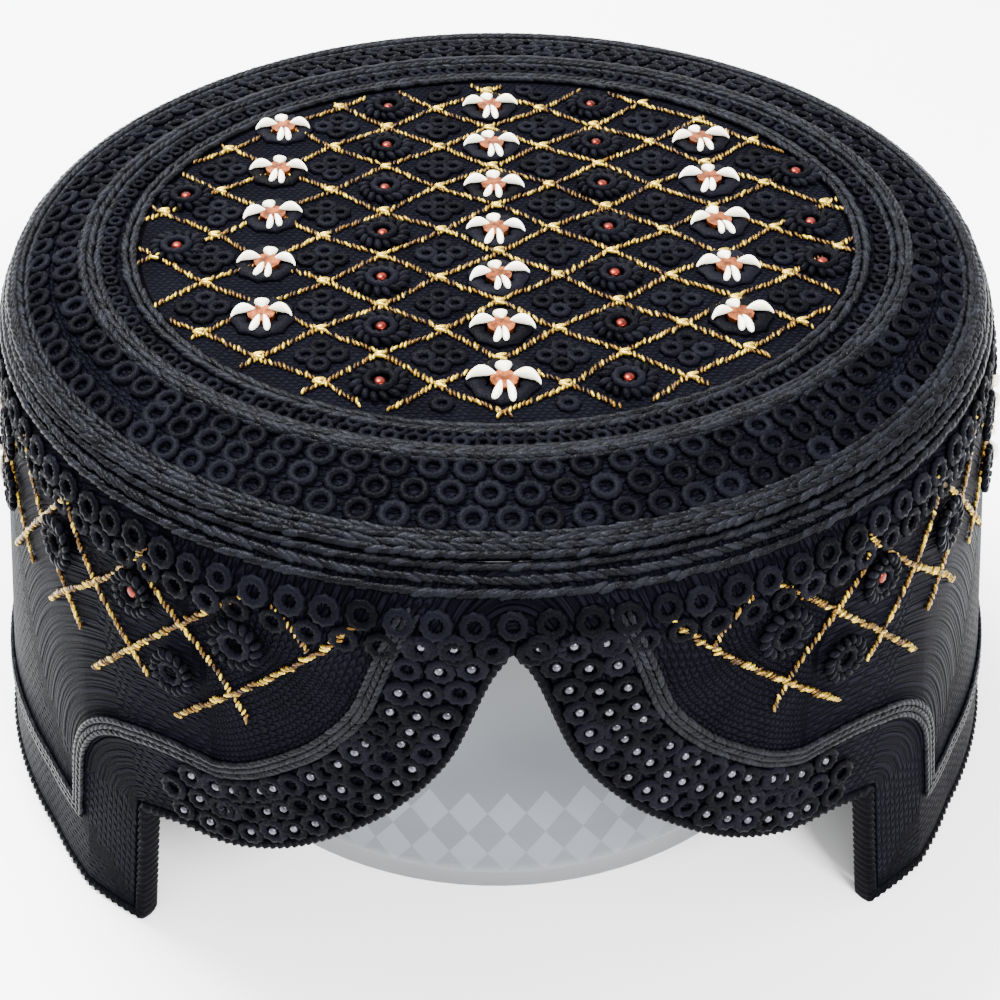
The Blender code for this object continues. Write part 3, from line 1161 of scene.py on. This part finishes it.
@dataclass
class StitchedCrown:
    """The crown panel: medallion field, ring and sloping border."""

    form: CapForm
    palette: Palette
    columns: int = 128
    field_rows: int = 22
    slope_rows: int = 12

    def build(self) -> bpy.types.Object:
        """Builds the crown in place of its solid.

        Returns:
            The crown's object.
        """
        outside = [-1 + row / self.field_rows for row in range(self.field_rows)]
        outside += [row / self.slope_rows for row in range(self.slope_rows + 1)]
        lining = [1.0, 0.66, 0.33, 0.0, -1.0]
        rows = [(share, 0.0) for share in outside] + [(share, self.form.cloth) for share in lining]

        def point(column: int, row: int) -> Vector:
            """Place of a vertex from the middle outwards and back inside."""
            share, depth = rows[row]
            return self.form.crown_point(2 * math.pi * (column % self.columns) / self.columns, share, depth)

        def flat(column: int, row: int) -> tuple[float, float]:
            """Plan place in the field, and length round and distance out on the border, in millimetres."""
            share, depth = rows[row]
            angle = 2 * math.pi * column / self.columns
            at = self.form.crown_point(angle, share, depth)
            if share < -0.1 or depth:
                return at.x / MM, at.y / MM
            return angle * self.form.ring_x / MM, 60.0 + share * 15.0

        middle = self.field_rows - int(0.1 * self.field_rows)
        last = len(outside) - 1

        def finish_of(row: int) -> int:
            """Material number of a row of faces: field, border or lining."""
            if row >= last:
                return 2
            return 0 if row < middle else 1

        mesh = mapped_sheet(self.columns, len(rows) - 1, point, flat, finish_of)
        cloths = (self.palette.medallion, self.palette.border, self.palette.lining)
        finishes = [cloth.material() for cloth in cloths]
        made = placed_piece("stitched_crown", mesh_data("stitched_crown", mesh), *finishes)
        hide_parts("crown")
        return made


@dataclass
class CrownCords:
    """Bundles of long stem stitches over the seam, round the ring and round the medallion."""

    form: CapForm
    palette: Palette
    strand: float = 1.30 * MM
    pitch: float = 1.55 * MM
    length: float = 3.6 * MM
    slant: float = math.radians(13.0)
    steps: int = 240
    rim_shares: tuple[float, ...] = (0.800, 0.865, 0.930, 0.990)
    rim_lifts: tuple[float, ...] = (0.6 * MM, 1.2 * MM, 1.4 * MM, 1.3 * MM)
    shoulder_heights: tuple[float, ...] = (90.6 * MM, 89.6 * MM, 88.4 * MM)
    ring_shares: tuple[float, ...] = (-0.034, -0.016, 0.004, 0.030)
    ring_lifts: tuple[float, ...] = (0.5 * MM, 0.9 * MM, 1.0 * MM, 0.6 * MM)

    def strand_line(
        self, place: Callable[[float], Place], lift: float, slant: float, work: Stitchwork
    ) -> None:
        """Lays one strand of overlapping stitches.

        Args:
            place: Point and normal of the cloth at an angle.
            lift: Height above the cloth.
            slant: Turn of each stitch from the strand.
            work: The stitches' piece.
        """
        line = []
        for step in range(self.steps + 1):
            at, normal = place(2 * math.pi * step / self.steps)
            line.append(at + normal * lift)
        for at, along in even_steps(line, self.pitch):
            normal = place(math.atan2(at.x, -at.y))[1]
            leaning = Matrix.Rotation(slant, 3, normal) @ along
            work.lay(at, leaning, normal, (self.length, self.strand, self.strand * 0.9))

    def crown_strands(self, work: Stitchwork, shares: Sequence[float], lifts: Sequence[float]) -> None:
        """Lays a bundle on the crown, strand by strand.

        Args:
            work: The stitches' piece.
            shares: Where each strand runs, from the ring to the seam.
            lifts: Height of each strand above the cloth.
        """
        for number, (share, lift) in enumerate(zip(shares, lifts)):
            turn = self.slant if number % 2 else -self.slant
            self.strand_line(lambda angle, share=share: self.form.on_crown(angle, share), lift, turn, work)

    def build(self) -> list[bpy.types.Object]:
        """Builds the three bundles in place of their solids.

        Returns:
            The bundles.
        """
        cord = self.palette.cord.material()
        rim = Stitchwork("rim_strands", stitch_template(), cord, 11, 0.08)
        self.crown_strands(rim, self.rim_shares, self.rim_lifts)
        for number, height in enumerate(self.shoulder_heights):
            turn = -self.slant if number % 2 else self.slant
            self.strand_line(
                lambda angle, height=height: self.form.on_wall(angle, height), 0.5 * MM, turn, rim
            )
        ring = Stitchwork("ring_strands", stitch_template(), cord, 12, 0.08)
        self.crown_strands(ring, self.ring_shares, self.ring_lifts)
        inner = Stitchwork("medallion_strands", stitch_template(), cord, 13, 0.08)
        share = (self.form.medallion_x / self.form.ring_x + self.form.medallion_y / self.form.ring_y) / 2 - 1
        self.crown_strands(inner, (share - 0.009, share + 0.011), (0.5 * MM, 0.5 * MM))
        made = []
        for work, node in ((rim, "rim_cord"), (ring, "ring_cord"), (inner, "medallion_cord")):
            piece = work.build()
            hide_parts(node)
            made.append(piece)
        return made


@dataclass
class RosetteWork:
    """Black rosettes: a ring of radial stitches, a raised collar and a small mirror."""

    area: RosetteArea
    palette: Palette
    width: float
    seed: int
    radial: int = 15
    collar: int = 11

    def __post_init__(self) -> None:
        """Opens the three pieces that the rosettes are made of."""
        black = self.palette.black.material()
        spark = self.palette.spark.material()
        area = self.area.value
        ring = ring_template(0.50, 9, 0.18)
        self.stitches = Stitchwork(f"{area}_rosettes", stitch_template(6, 5), black, self.seed, 0.12)
        self.rings = Stitchwork(f"{area}_rosette_rings", ring, black, self.seed + 1, 0.06)
        self.glints = Stitchwork(f"{area}_glints", disc_template(), spark, self.seed + 2)

    def lay(self, at: Vector, up: Vector, ahead: Vector, scale: float = 1.0, glint: bool = True) -> None:
        """Lays one rosette.

        Args:
            at: Its middle on the cloth.
            up: Normal of the cloth.
            ahead: A direction along the cloth.
            scale: Size, 1 for an ordinary one.
            glint: Whether it holds a mirror.
        """
        width = self.width * scale
        grain = (width * 0.27, width * 0.15, 1.5 * MM)
        for number in range(self.radial):
            away = Matrix.Rotation(2 * math.pi * number / self.radial, 3, up) @ ahead
            tilt = Matrix.Rotation(0.5, 3, up) @ away
            self.stitches.lay(at + away * width * 0.385 + up * 0.55 * MM, tilt, up, grain)
        self.rings.lay(at + up * 0.9 * MM, ahead, up, (width * 0.60, width * 0.60, width * 0.55))
        if glint:
            shift = ahead * self.glints.chance.uniform(-0.4, 0.4) * MM
            self.glints.lay(at + up * 0.8 * MM + shift, ahead, up, (2.2 * MM, 1.9 * MM, 0.9 * MM))

    def build(self) -> list[bpy.types.Object]:
        """Builds the pieces.

        Returns:
            The stitches, the rings and the mirrors.
        """
        return [
            self.stitches.build(),
            self.rings.build(),
            self.glints.build(),
        ]


@dataclass
class CrownLattice:
    """Gold lines that cross the medallion, their knots, and the rosettes and eyelets in the cells."""

    form: CapForm
    palette: Palette
    column: float = 19.0 * MM
    row: float = 14.0 * MM
    pitch: float = 0.80 * MM
    stitch: float = 1.60 * MM
    wire: float = 0.58 * MM
    slant: float = math.radians(40.0)
    sway: float = 0.9 * MM
    rosette: float = 9.4 * MM
    eyelet: float = 3.9 * MM
    knot: tuple[float, float, float] = (2.1 * MM, 0.7 * MM, 0.7 * MM)
    reach: float = 0.075
    line_steps: int = 160
    left_rosettes: tuple[float, ...] = (27.0, 12.0, -4.0)
    right_rosettes: tuple[float, ...] = (17.0, 1.0, -11.0)

    def level(self, x: float, y: float, lift: float) -> Vector:
        """Place on the flat field."""
        return Vector((x, y, self.form.crown_height + lift))

    def bend(self, x: float, y: float) -> tuple[float, float]:
        """Small hand drawn sway of the lattice.

        Args:
            x: Plan place before the sway.
            y: Plan place before the sway.

        Returns:
            The plan place after it.
        """
        wave = self.sway * math.sin(x / (11 * MM) + 1.3) * math.cos(y / (13 * MM))
        return x + 0.4 * wave, y + wave

    def gold(self) -> bpy.types.Object:
        """Builds the gold lines.

        Returns:
            The lines' object.
        """
        work = Stitchwork("gold_lattice", stitch_template(5, 4), self.palette.gold.material(), 21, 0.22)
        grain = (self.stitch, self.wire, self.wire * 1.3)
        for slope in (1, -1):
            for number in range(-8, 8):
                offset = (number + 0.5) * self.row
                line = []
                for step in range(self.line_steps + 1):
                    x = -self.reach + 2 * self.reach * step / self.line_steps
                    y = slope * x * self.row / self.column + offset
                    cell = math.sin(math.pi * (x / self.column + slope * y / self.row))
                    line.append(self.level(*self.bend(x, y + 0.5 * MM * cell * slope), 0.35 * MM))
                for at, along in even_steps(line, self.pitch):
                    if self.form.in_medallion(at.x, at.y, 2.2 * MM):
                        turned = Matrix.Rotation(self.slant * slope, 3, "Z") @ along
                        work.lay(at, turned, UP, grain, work.chance.random())
        return work.build()

    def knots(self) -> bpy.types.Object:
        """Builds the small gold knots where the lines cross.

        Returns:
            The knots' object.
        """
        work = Stitchwork("gold_knots", stitch_template(8, 6), self.palette.gold.material(), 22)
        for i in range(-8, 9):
            for j in range(-10, 11):
                if (i + j) % 2 == 0:
                    continue
                x, y = self.bend(i * self.column / 2, j * self.row / 2)
                if i % 2 == 0 and j % 2 == 0 or not self.form.in_medallion(x, y, 3 * MM):
                    continue
                for shift in (-1, 1):
                    at = self.level(x, y + shift * 0.4 * MM, 0.6 * MM)
                    work.lay(at, Vector((1, 0.3 * shift, 0)), UP, self.knot, 0.9)
        return work.build()

    def rosette_places(self) -> list[tuple[float, float]]:
        """Plan places of the black rosettes.

        Returns:
            The places inside the medallion.
        """
        places = [(side * self.column, number * self.row) for side in (-1, 1) for number in range(-3, 4)]
        places += [(-3 * self.column * 0.94, y * MM) for y in self.left_rosettes]
        places += [(3 * self.column * 0.94, y * MM) for y in self.right_rosettes]
        return [place for place in places if self.form.in_medallion(*place, 3.5 * MM)]

    def rosettes(self) -> list[bpy.types.Object]:
        """Builds the black rosettes with their small red mirrors.

        Returns:
            The stitches, the rings and the mirrors.
        """
        worker = RosetteWork(RosetteArea.CROWN, self.palette, self.rosette, 23)
        for x, y in self.rosette_places():
            worker.lay(self.level(*self.bend(x, y), 0.0), UP, Vector((0, 1, 0)))
        return worker.build()

    def eyelets(self) -> bpy.types.Object:
        """Builds the clusters of four eyelets in the empty cells.

        Returns:
            The eyelets' object.
        """
        ring = ring_template(0.34, 8, 0.20)
        work = Stitchwork("cell_eyelets", ring, self.palette.black.material(), 26, 0.10)
        size = (self.eyelet, self.eyelet, 2.8 * MM)
        for i in range(-7, 8):
            for j in range(-7, 8):
                if i % 2 == 0 or j % 2 == 0:
                    continue
                x, y = self.bend(i * self.column / 2, j * self.row / 2)
                for dx, dy in ((-0.62, 0.0), (0.62, 0.0), (0.0, 0.58), (0.0, -0.58)):
                    ex, ey = x + dx * self.eyelet, y + dy * self.eyelet
                    if self.form.in_medallion(ex, ey, 3.2 * MM):
                        work.lay(self.level(ex, ey, 0.3 * MM), Vector((1, dx, 0)), UP, size)
        return work.build()

    def build(self) -> list[bpy.types.Object]:
        """Builds the lattice and what its cells hold."""
        return [self.gold(), self.knots(), *self.rosettes(), self.eyelets()]


@dataclass
class CreamFlowers:
    """Cream silk flowers round copper mirrors, on the crown and at the wall's sides."""

    form: CapForm
    palette: Palette
    arm: float = 4.1 * MM
    arm_width: float = 1.02 * MM
    stem: float = 3.7 * MM
    cap: float = 1.9 * MM
    crown_size: float = 1.2
    front_size: float = 1.34
    front_from: float = -0.038
    wall_size: float = 1.15
    wall_places: tuple[tuple[float, float], ...] = (
        (77.0, 0.0735),
        (80.0, 0.0600),
        (128.0, 0.066),
        (158.0, 0.066),
    )

    def __post_init__(self) -> None:
        """Opens the pieces that the flowers are made of."""
        cream, black = self.palette.cream.material(), self.palette.black.material()
        self.right = Stitchwork("cream_arms_right", crescent_template(), cream, 31, 0.07)
        mirrored = crescent_template()
        bmesh.ops.scale(mirrored, vec=(1, -1, 1), verts=mirrored.verts)
        bmesh.ops.reverse_faces(mirrored, faces=mirrored.faces)
        self.left = Stitchwork("cream_arms_left", mirrored, cream, 32, 0.07)
        self.stems = Stitchwork("cream_stems", petal_template(), cream, 33, 0.07)
        self.ground = Stitchwork("flower_grounds", ring_template(0.46, 9, 0.22), black, 34, 0.05)
        self.discs = Stitchwork("wall_mirrors", disc_template(), self.palette.mirror.material(), 35)

    def flower(self, at: Vector, up: Vector, down: Vector, size: float) -> None:
        """Lays one flower: two drooping arms, a round cap and a forked stem.

        Args:
            at: The flower's middle on the cloth.
            up: Normal of the cloth.
            down: Direction of its stem.
            size: Scale, 1 for an ordinary flower.
        """
        down = Matrix.Rotation(self.stems.chance.uniform(-0.22, 0.22), 3, up) @ down
        side = down.cross(up).normalized() * -1
        self.ground.lay(at + up * 0.35 * MM, down, up, (8.6 * MM * size, 8.6 * MM * size, 3.6 * MM))
        root = at - down * 0.9 * MM * size + up * 0.9 * MM
        thick = self.arm_width * size
        sweep = (self.arm * size, thick, thick * 1.2)
        reach = side * 0.9 * MM * size
        self.right.lay(root + reach, side, up, sweep, self.right.chance.uniform(0.75, 1.0))
        self.left.lay(root - reach, -side, up, sweep, self.left.chance.uniform(0.75, 1.0))
        for hand in (-1, 1):
            away = Matrix.Rotation(hand * 0.16, 3, up) @ down
            stem = (self.stem * size * self.stems.chance.uniform(0.85, 1.05), thick * 0.95, thick * 1.1)
            foot = at + down * 0.5 * MM + side * hand * 0.35 * MM + up * 1.0 * MM
            self.stems.lay(foot, away, up, stem, 0.95)
        cap = (self.cap * size, self.cap * 1.05 * size, thick * 1.2)
        head = at - down * 1.3 * MM * size + up * 1.0 * MM
        self.stems.lay(head, -down, up, cap, self.stems.chance.uniform(0.55, 0.95))

    def build(self) -> list[bpy.types.Object]:
        """Builds every flower.

        Returns:
            The pieces.
        """
        for name in sorted(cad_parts):
            if not name.startswith("flower_mirror"):
                continue
            low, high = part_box(name)
            middle = (low + high) / 2
            size = self.front_size if middle.y < self.front_from else self.crown_size
            self.flower(Vector((middle.x, middle.y, self.form.crown_height)), UP, Vector((0, -1, 0)), size)
        for degrees, height in self.wall_places:
            for hand in (-1, 1):
                at, up = self.form.on_wall(math.radians(hand * degrees), height)
                self.flower(at, up, -UP, self.wall_size)
                self.discs.lay(at + up * 0.4 * MM, UP, up, (4.2 * MM, 4.2 * MM, 1.2 * MM))
        cream = [work.build() for work in (self.right, self.left, self.stems)]
        ground = self.ground.build()
        return [*cream, ground, self.discs.build()]


@dataclass
class CrownBorder:
    """Rows of buttonholed eyelets on the crown's border."""

    form: CapForm
    palette: Palette
    eyelet: float = 4.9 * MM
    small: float = 3.0 * MM
    rows: tuple[tuple[float, float, int, float], ...] = (
        (0.13, 0.11, 80, 0.0),
        (0.39, 0.0, 84, 0.5),
        (0.65, 0.0, 88, 0.0),
    )
    ring_rows: tuple[tuple[float, int, float], ...] = ((-0.058, 118, 0.0), (-0.088, 112, 0.5))

    def build(self) -> list[bpy.types.Object]:
        """Builds the border's eyelets.

        Returns:
            The large and the small eyelets.
        """
        black = self.palette.black.material()
        large = Stitchwork("border_eyelets", ring_template(0.42, 11, 0.16), black, 41, 0.07)
        for share, lean, count, shift in self.rows:
            for number in range(count):
                angle = 2 * math.pi * (number + shift) / count
                narrow = math.sin(angle) ** 2
                if lean == 0.0 and share < 0.5 and narrow > 0.55:
                    continue
                at, up = self.form.on_crown(angle, share + lean * narrow)
                along = Vector((math.cos(angle), math.sin(angle), 0))
                large.lay(at + up * 0.4 * MM, along, up, (self.eyelet, self.eyelet, 3.6 * MM))
        small = Stitchwork("ring_eyelets", ring_template(0.36, 7, 0.20), black, 42, 0.10)
        for share, count, shift in self.ring_rows:
            for number in range(count):
                angle = 2 * math.pi * (number + shift) / count
                at, up = self.form.on_crown(angle, share)
                if not self.form.in_medallion(at.x, at.y, -1.6 * MM):
                    along = Vector((math.cos(angle), math.sin(angle), 0))
                    small.lay(at + up * 0.4 * MM, along, up, (self.small, self.small, 2.6 * MM))
        return [large.build(), small.build()]


@dataclass
class WallLeaves:
    """Gold leaf panels and rosettes of the upper wall."""

    form: CapForm
    palette: Palette
    pitch: float = 0.85 * MM
    stitch: float = 1.65 * MM
    wire: float = 0.58 * MM
    slant: float = math.radians(42.0)
    unit: float = 0.084
    outward: tuple[tuple[tuple[float, float], ...], ...] = (
        ((15.5, 0.99), (21.0, 0.88), (28.5, 0.76), (36.0, 0.64)),
        ((26.5, 1.00), (33.0, 0.90), (40.5, 0.77), (48.0, 0.63)),
        ((39.0, 1.00), (45.7, 0.868), (52.0, 0.77), (57.0, 0.68)),
    )
    crossing: tuple[tuple[tuple[float, float], ...], ...] = (
        ((39.8, 0.995), (37.4, 0.91), (32.2, 0.828), (27.4, 0.697)),
        ((52.5, 0.99), (50.0, 0.90), (45.0, 0.80), (39.5, 0.70)),
        ((24.0, 0.99), (21.5, 0.95), (20.0, 0.90)),
    )
    repeat_from: float = 51.0
    repeat_pitch: float = 12.0
    repeat_out: tuple[tuple[float, float], ...] = ((0.0, 1.0), (6.5, 0.88), (12.5, 0.76), (18.0, 0.65))
    repeat_back: tuple[tuple[float, float], ...] = ((0.0, 1.0), (2.5, 0.90), (7.5, 0.80), (13.0, 0.70))
    rosettes: tuple[tuple[float, float], ...] = ((28.0, 0.88), (41.0, 0.885), (36.0, 0.75), (54.0, 0.86))

    def line(self, points: Sequence[tuple[float, float]], hand: int) -> list[Vector]:
        """Smooth line on the wall through measured places.

        Args:
            points: Angles in degrees and heights in units.
            hand: 1 for the +X side and -1 for the other.

        Returns:
            Points of the line.
        """
        angles = np.array([point[0] for point in points])
        heights = np.array([point[1] for point in points])
        along = np.linspace(0, len(points) - 1, 50)
        index = np.arange(len(points))
        order = min(3, len(points) - 1)
        angles = np.polyval(np.polyfit(index, angles, order), along)
        heights = np.polyval(np.polyfit(index, heights, order), along)
        made = []
        for angle, height in zip(angles, heights):
            at, up = self.form.on_wall(math.radians(hand * angle), height * self.unit)
            made.append(at + up * 0.35 * MM)
        return made

    def all_lines(self) -> list[tuple[Sequence[tuple[float, float]], int]]:
        """Every gold line and its side.

        Returns:
            Angles in degrees and heights in units, and 1 or -1 for the side.
        """
        lines = [(points, hand) for hand in (-1, 1) for points in self.outward + self.crossing]
        steps = int((180 - self.repeat_from) / self.repeat_pitch)
        for hand in (-1, 1):
            for step in range(steps):
                top = self.repeat_from + step * self.repeat_pitch
                out = tuple((min(top + fall, 180.0), height) for fall, height in self.repeat_out)
                end = top + self.repeat_pitch
                back = tuple((end - fall, height) for fall, height in self.repeat_back)
                lines += [(out, hand), (back, hand)] if top + 18 <= 181 else [(back, hand)]
        return lines

    def build(self) -> list[bpy.types.Object]:
        """Builds the gold lines and the rosettes.

        Returns:
            The pieces.
        """
        gold = Stitchwork("wall_gold", stitch_template(5, 4), self.palette.gold.material(), 51, 0.22)
        for points, hand in self.all_lines():
            for at, along in even_steps(self.line(points, hand), self.pitch):
                angle = math.atan2(at.x, -at.y)
                up = self.form.on_wall(angle, at.z)[1]
                turned = Matrix.Rotation(self.slant * hand, 3, up) @ along
                gold.lay(at, turned, up, (self.stitch, self.wire, self.wire * 1.3), gold.chance.random())
        worker = RosetteWork(RosetteArea.WALL, self.palette, 9.0 * MM, 52)
        places = list(self.rosettes)
        for step in range(1, 11):
            middle = self.repeat_from + step * self.repeat_pitch + 6.5
            places += [(middle, height) for height in (0.92, 0.79)]
        for hand in (-1, 1):
            for number, (degrees, height) in enumerate(places):
                at, up = self.form.on_wall(math.radians(hand * degrees), height * self.unit)
                worker.lay(at, up, UP, 0.94 if number % 3 else 1.06, number % 3 == 1)
        return [gold.build(), *worker.build()]


@dataclass
class WallEyelets:
    """Eyelets under the rim and along the arch, with their shiny beads."""

    form: CapForm
    edge: EdgeLine
    palette: Palette
    eyelet: float = 4.9 * MM
    arch_rows: tuple[float, ...] = (4.4 * MM, 8.7 * MM, 13.0 * MM)
    rim_rows: tuple[tuple[float, int, float], ...] = ((0.0848, 98, 0.0), (0.0806, 98, 0.5))
    arch_top: float = 0.0835
    bead_share: float = 0.7

    def build(self) -> list[bpy.types.Object]:
        """Builds the eyelets.

        Returns:
            The eyelets and their beads.
        """
        black = self.palette.black.material()
        rings = Stitchwork("wall_eyelets", ring_template(0.40, 10, 0.18), black, 61, 0.12)
        beads = Stitchwork("eyelet_beads", disc_template(10), self.palette.bead.material(), 62)
        for height, count, shift in self.rim_rows:
            for number in range(count):
                angle = 2 * math.pi * (number + shift) / count - math.pi
                at, up = self.form.on_wall(angle, height)
                rings.lay(at + up * 0.4 * MM, UP, up, (self.eyelet, self.eyelet, 3.4 * MM))
        stop = self.edge.half_angle * 0.9
        for number, gap in enumerate(self.arch_rows):
            for hand in (-1, 1):
                path = [point for point in self.edge.parallel(gap, 0.01, stop) if point[1] < self.arch_top]
                line = [self.form.on_wall(hand * angle, height)[0] for angle, height in path]
                for at, along in even_steps(line, self.eyelet * 1.04):
                    up = self.form.on_wall(math.atan2(at.x, -at.y), at.z)[1]
                    rings.lay(at + up * 0.4 * MM, along, up, (self.eyelet, self.eyelet, 3.4 * MM))
                    if beads.chance.random() < self.bead_share:
                        beads.lay(at + up * 0.3 * MM, along, up, (1.5 * MM, 1.5 * MM, 1.1 * MM), 0.9)
        return [rings.build(), beads.build()]


@dataclass
class WallCords:
    """Raised chain lines that follow the arch and the hem."""

    form: CapForm
    edge: EdgeLine
    palette: Palette
    pitch: float = 1.5 * MM
    gaps: tuple[float, ...] = (16.0 * MM, 17.1 * MM, 18.2 * MM)
    top: float = 0.086
    break_length: float = 4.0 * MM

    def build(self) -> bpy.types.Object:
        """Builds the raised lines.

        Returns:
            The lines' object.
        """
        work = Stitchwork("wall_cords", stitch_template(), self.palette.cord.material(), 71)
        for number, gap in enumerate(self.gaps):
            path = self.edge.parallel(gap, -math.pi, math.pi)
            path = [point for point in path if point[1] < self.top]
            runs: list[list[Vector]] = [[]]
            for angle, height in path:
                at, up = self.form.on_wall(angle, height)
                if runs[-1] and (runs[-1][-1] - at).length > self.break_length:
                    runs.append([])
                runs[-1].append(at + up * 0.35 * MM)
            turn = 0.25 if number % 2 else -0.25
            for run in runs:
                for at, along in even_steps(run, self.pitch):
                    up = self.form.on_wall(math.atan2(at.x, -at.y), at.z)[1]
                    leaning = Matrix.Rotation(turn, 3, up) @ along
                    work.lay(at, leaning, up, (self.pitch * 2.1, 1.1 * MM, 1.0 * MM))
        return work.build()


@dataclass
class GlassBowl:
    """The upturned glass bowl that holds the cap up."""

    palette: Palette
    rim: float = 0.064
    height: float = 0.0917
    glass: float = 2.5 * MM
    steps: int = 96
    profile: tuple[tuple[float, float], ...] = (
        (0.00, 1.000),
        (0.06, 1.000),
        (0.30, 0.975),
        (0.58, 0.905),
        (0.80, 0.810),
        (0.94, 0.715),
        (1.00, 0.640),
    )

    def build(self) -> bpy.types.Object:
        """Spins the bowl in place of its solid.

        Returns:
            The bowl's object.
        """
        mesh = bmesh.new()
        shares = np.linspace(0, 1, 15)
        outer = [(self.rim * smooth_value(self.profile, share), share * self.height) for share in shares]
        inner = [(radius - self.glass, min(z, self.height - self.glass)) for radius, z in outer[::-1]]
        section = [(0.0, self.height), *outer[::-1], *inner[::-1], (0.0, self.height - self.glass)]
        verts = [mesh.verts.new((radius, 0.0, z)) for radius, z in section]
        edges = [mesh.edges.new(pair) for pair in zip(verts, verts[1:])]
        bmesh.ops.spin(
            mesh,
            geom=verts + edges,
            cent=(0, 0, 0),
            axis=(0, 0, 1),
            angle=2 * math.pi,
            steps=self.steps,
            use_merge=True,
        )
        bmesh.ops.remove_doubles(mesh, verts=mesh.verts, dist=1e-6)
        bmesh.ops.recalc_face_normals(mesh, faces=mesh.faces)
        made = placed_piece("bowl_glass", mesh_data("bowl_glass", mesh), self.palette.glass.material())
        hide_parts("glass_bowl")
        return made


@dataclass
class CarriedNodes:
    """CAD nodes that stay as they are and get their real finish."""

    palette: Palette

    def dress(self) -> None:
        """Gives each carried node its material."""
        black = self.palette.black.material()
        copper = self.palette.mirror.material()
        for name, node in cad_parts.items():
            if node.hide_render:
                continue
            node.data.materials.clear()
            node.data.materials.append(copper if name.startswith("flower_mirror") else black)
            log.info("%s: dressed", name)


@dataclass
class Studio:
    """Pale floor, soft lights and the photograph's camera."""

    distance: float = 0.3394
    elevation: float = math.radians(40.5)
    heading: float = math.radians(-1.7)
    aim: float = 0.042
    lens: float = 64.8
    shift_x: float = 0.004
    shift_y: float = -0.030
    sensor: float = 36.0
    sky: float = 3.0

    def floor(self) -> None:
        """Lays the pale cloth that all stands on."""
        graph, shader = new_material("pale_cloth")
        place = graph.node("ShaderNodeTexCoord").outputs["Object"]
        cloud = graph.noise(place, 6.0)
        stops = ((0.3, (0.94, 0.94, 0.95)), (0.7, (0.985, 0.985, 0.985)))
        graph.link(graph.ramp(cloud, stops), shader.inputs["Base Color"])
        shader.inputs["Roughness"].default_value = 0.9
        graph.link(graph.bump(graph.noise(place, 9.0, 2.0), 0.004, 0.6), shader.inputs["Normal"])
        mesh = bmesh.new()
        bmesh.ops.create_grid(mesh, x_segments=60, y_segments=60, size=2.5)
        data = mesh_data("floor", mesh)
        data.materials.append(graph.material)
        ground = bpy.data.objects.new("floor", data)
        bpy.context.scene.collection.objects.link(ground)

    def lamp(self, name: str, at: Sequence[float], size: float, power: float, colour: Colour) -> None:
        """Hangs one soft lamp that looks at the cap.

        Args:
            name: The lamp's name.
            at: Its place.
            size: Width of its square face.
            power: Watts.
            colour: Its light.
        """
        light = bpy.data.lights.new(name, "AREA")
        light.size, light.energy, light.color = size, power, colour
        made = bpy.data.objects.new(name, light)
        made.location = at
        made.rotation_euler = (Vector((0, 0, 0.05)) - Vector(at)).to_track_quat("-Z", "Y").to_euler()
        bpy.context.scene.collection.objects.link(made)

    def camera(self) -> None:
        """Sets the photograph's camera."""
        data = bpy.data.cameras.new("camera")
        data.lens, data.sensor_width = self.lens, self.sensor
        data.shift_x, data.shift_y = self.shift_x, self.shift_y
        data.clip_start = 0.01
        made = bpy.data.objects.new("camera", data)
        away = Vector((0, -math.cos(self.elevation), math.sin(self.elevation))) * self.distance
        eye = Vector((0, 0, self.aim)) + away
        view = Matrix.Translation(eye) @ (-away).to_track_quat("-Z", "Y").to_matrix().to_4x4()
        made.matrix_world = Matrix.Rotation(self.heading, 4, "Z") @ view
        bpy.context.scene.collection.objects.link(made)
        bpy.context.scene.camera = made

    def build(self) -> None:
        """Builds the whole studio."""
        world = bpy.data.worlds.new("studio")
        world.use_nodes = True
        world.node_tree.nodes["Background"].inputs[0].default_value = (1.0, 1.0, 1.0, 1.0)
        world.node_tree.nodes["Background"].inputs[1].default_value = self.sky
        bpy.context.scene.world = world
        self.floor()
        self.lamp("window", (-0.20, 0.30, 0.80), 0.35, 40.0, (0.96, 0.98, 1.0))
        self.lamp("fill", (0.35, -0.60, 0.65), 0.30, 22.0, (1.0, 0.99, 0.97))
        self.camera()


def main() -> None:
    """Builds the cap, the bowl and the studio in order."""
    logging.basicConfig(level=logging.INFO, format="%(message)s", stream=sys.stdout)
    palette, form = Palette(), CapForm()
    edge = EdgeLine(form)
    StitchedWall(form, edge, palette).build()
    StitchedCrown(form, palette).build()
    BraidedEdge(form, edge, palette).build()
    CrownCords(form, palette).build()
    CrownLattice(form, palette).build()
    CreamFlowers(form, palette).build()
    CrownBorder(form, palette).build()
    WallLeaves(form, palette).build()
    WallEyelets(form, edge, palette).build()
    WallCords(form, edge, palette).build()
    GlassBowl(palette).build()
    CarriedNodes(palette).dress()
    Studio().build()


if __name__ == "__main__":
    main()
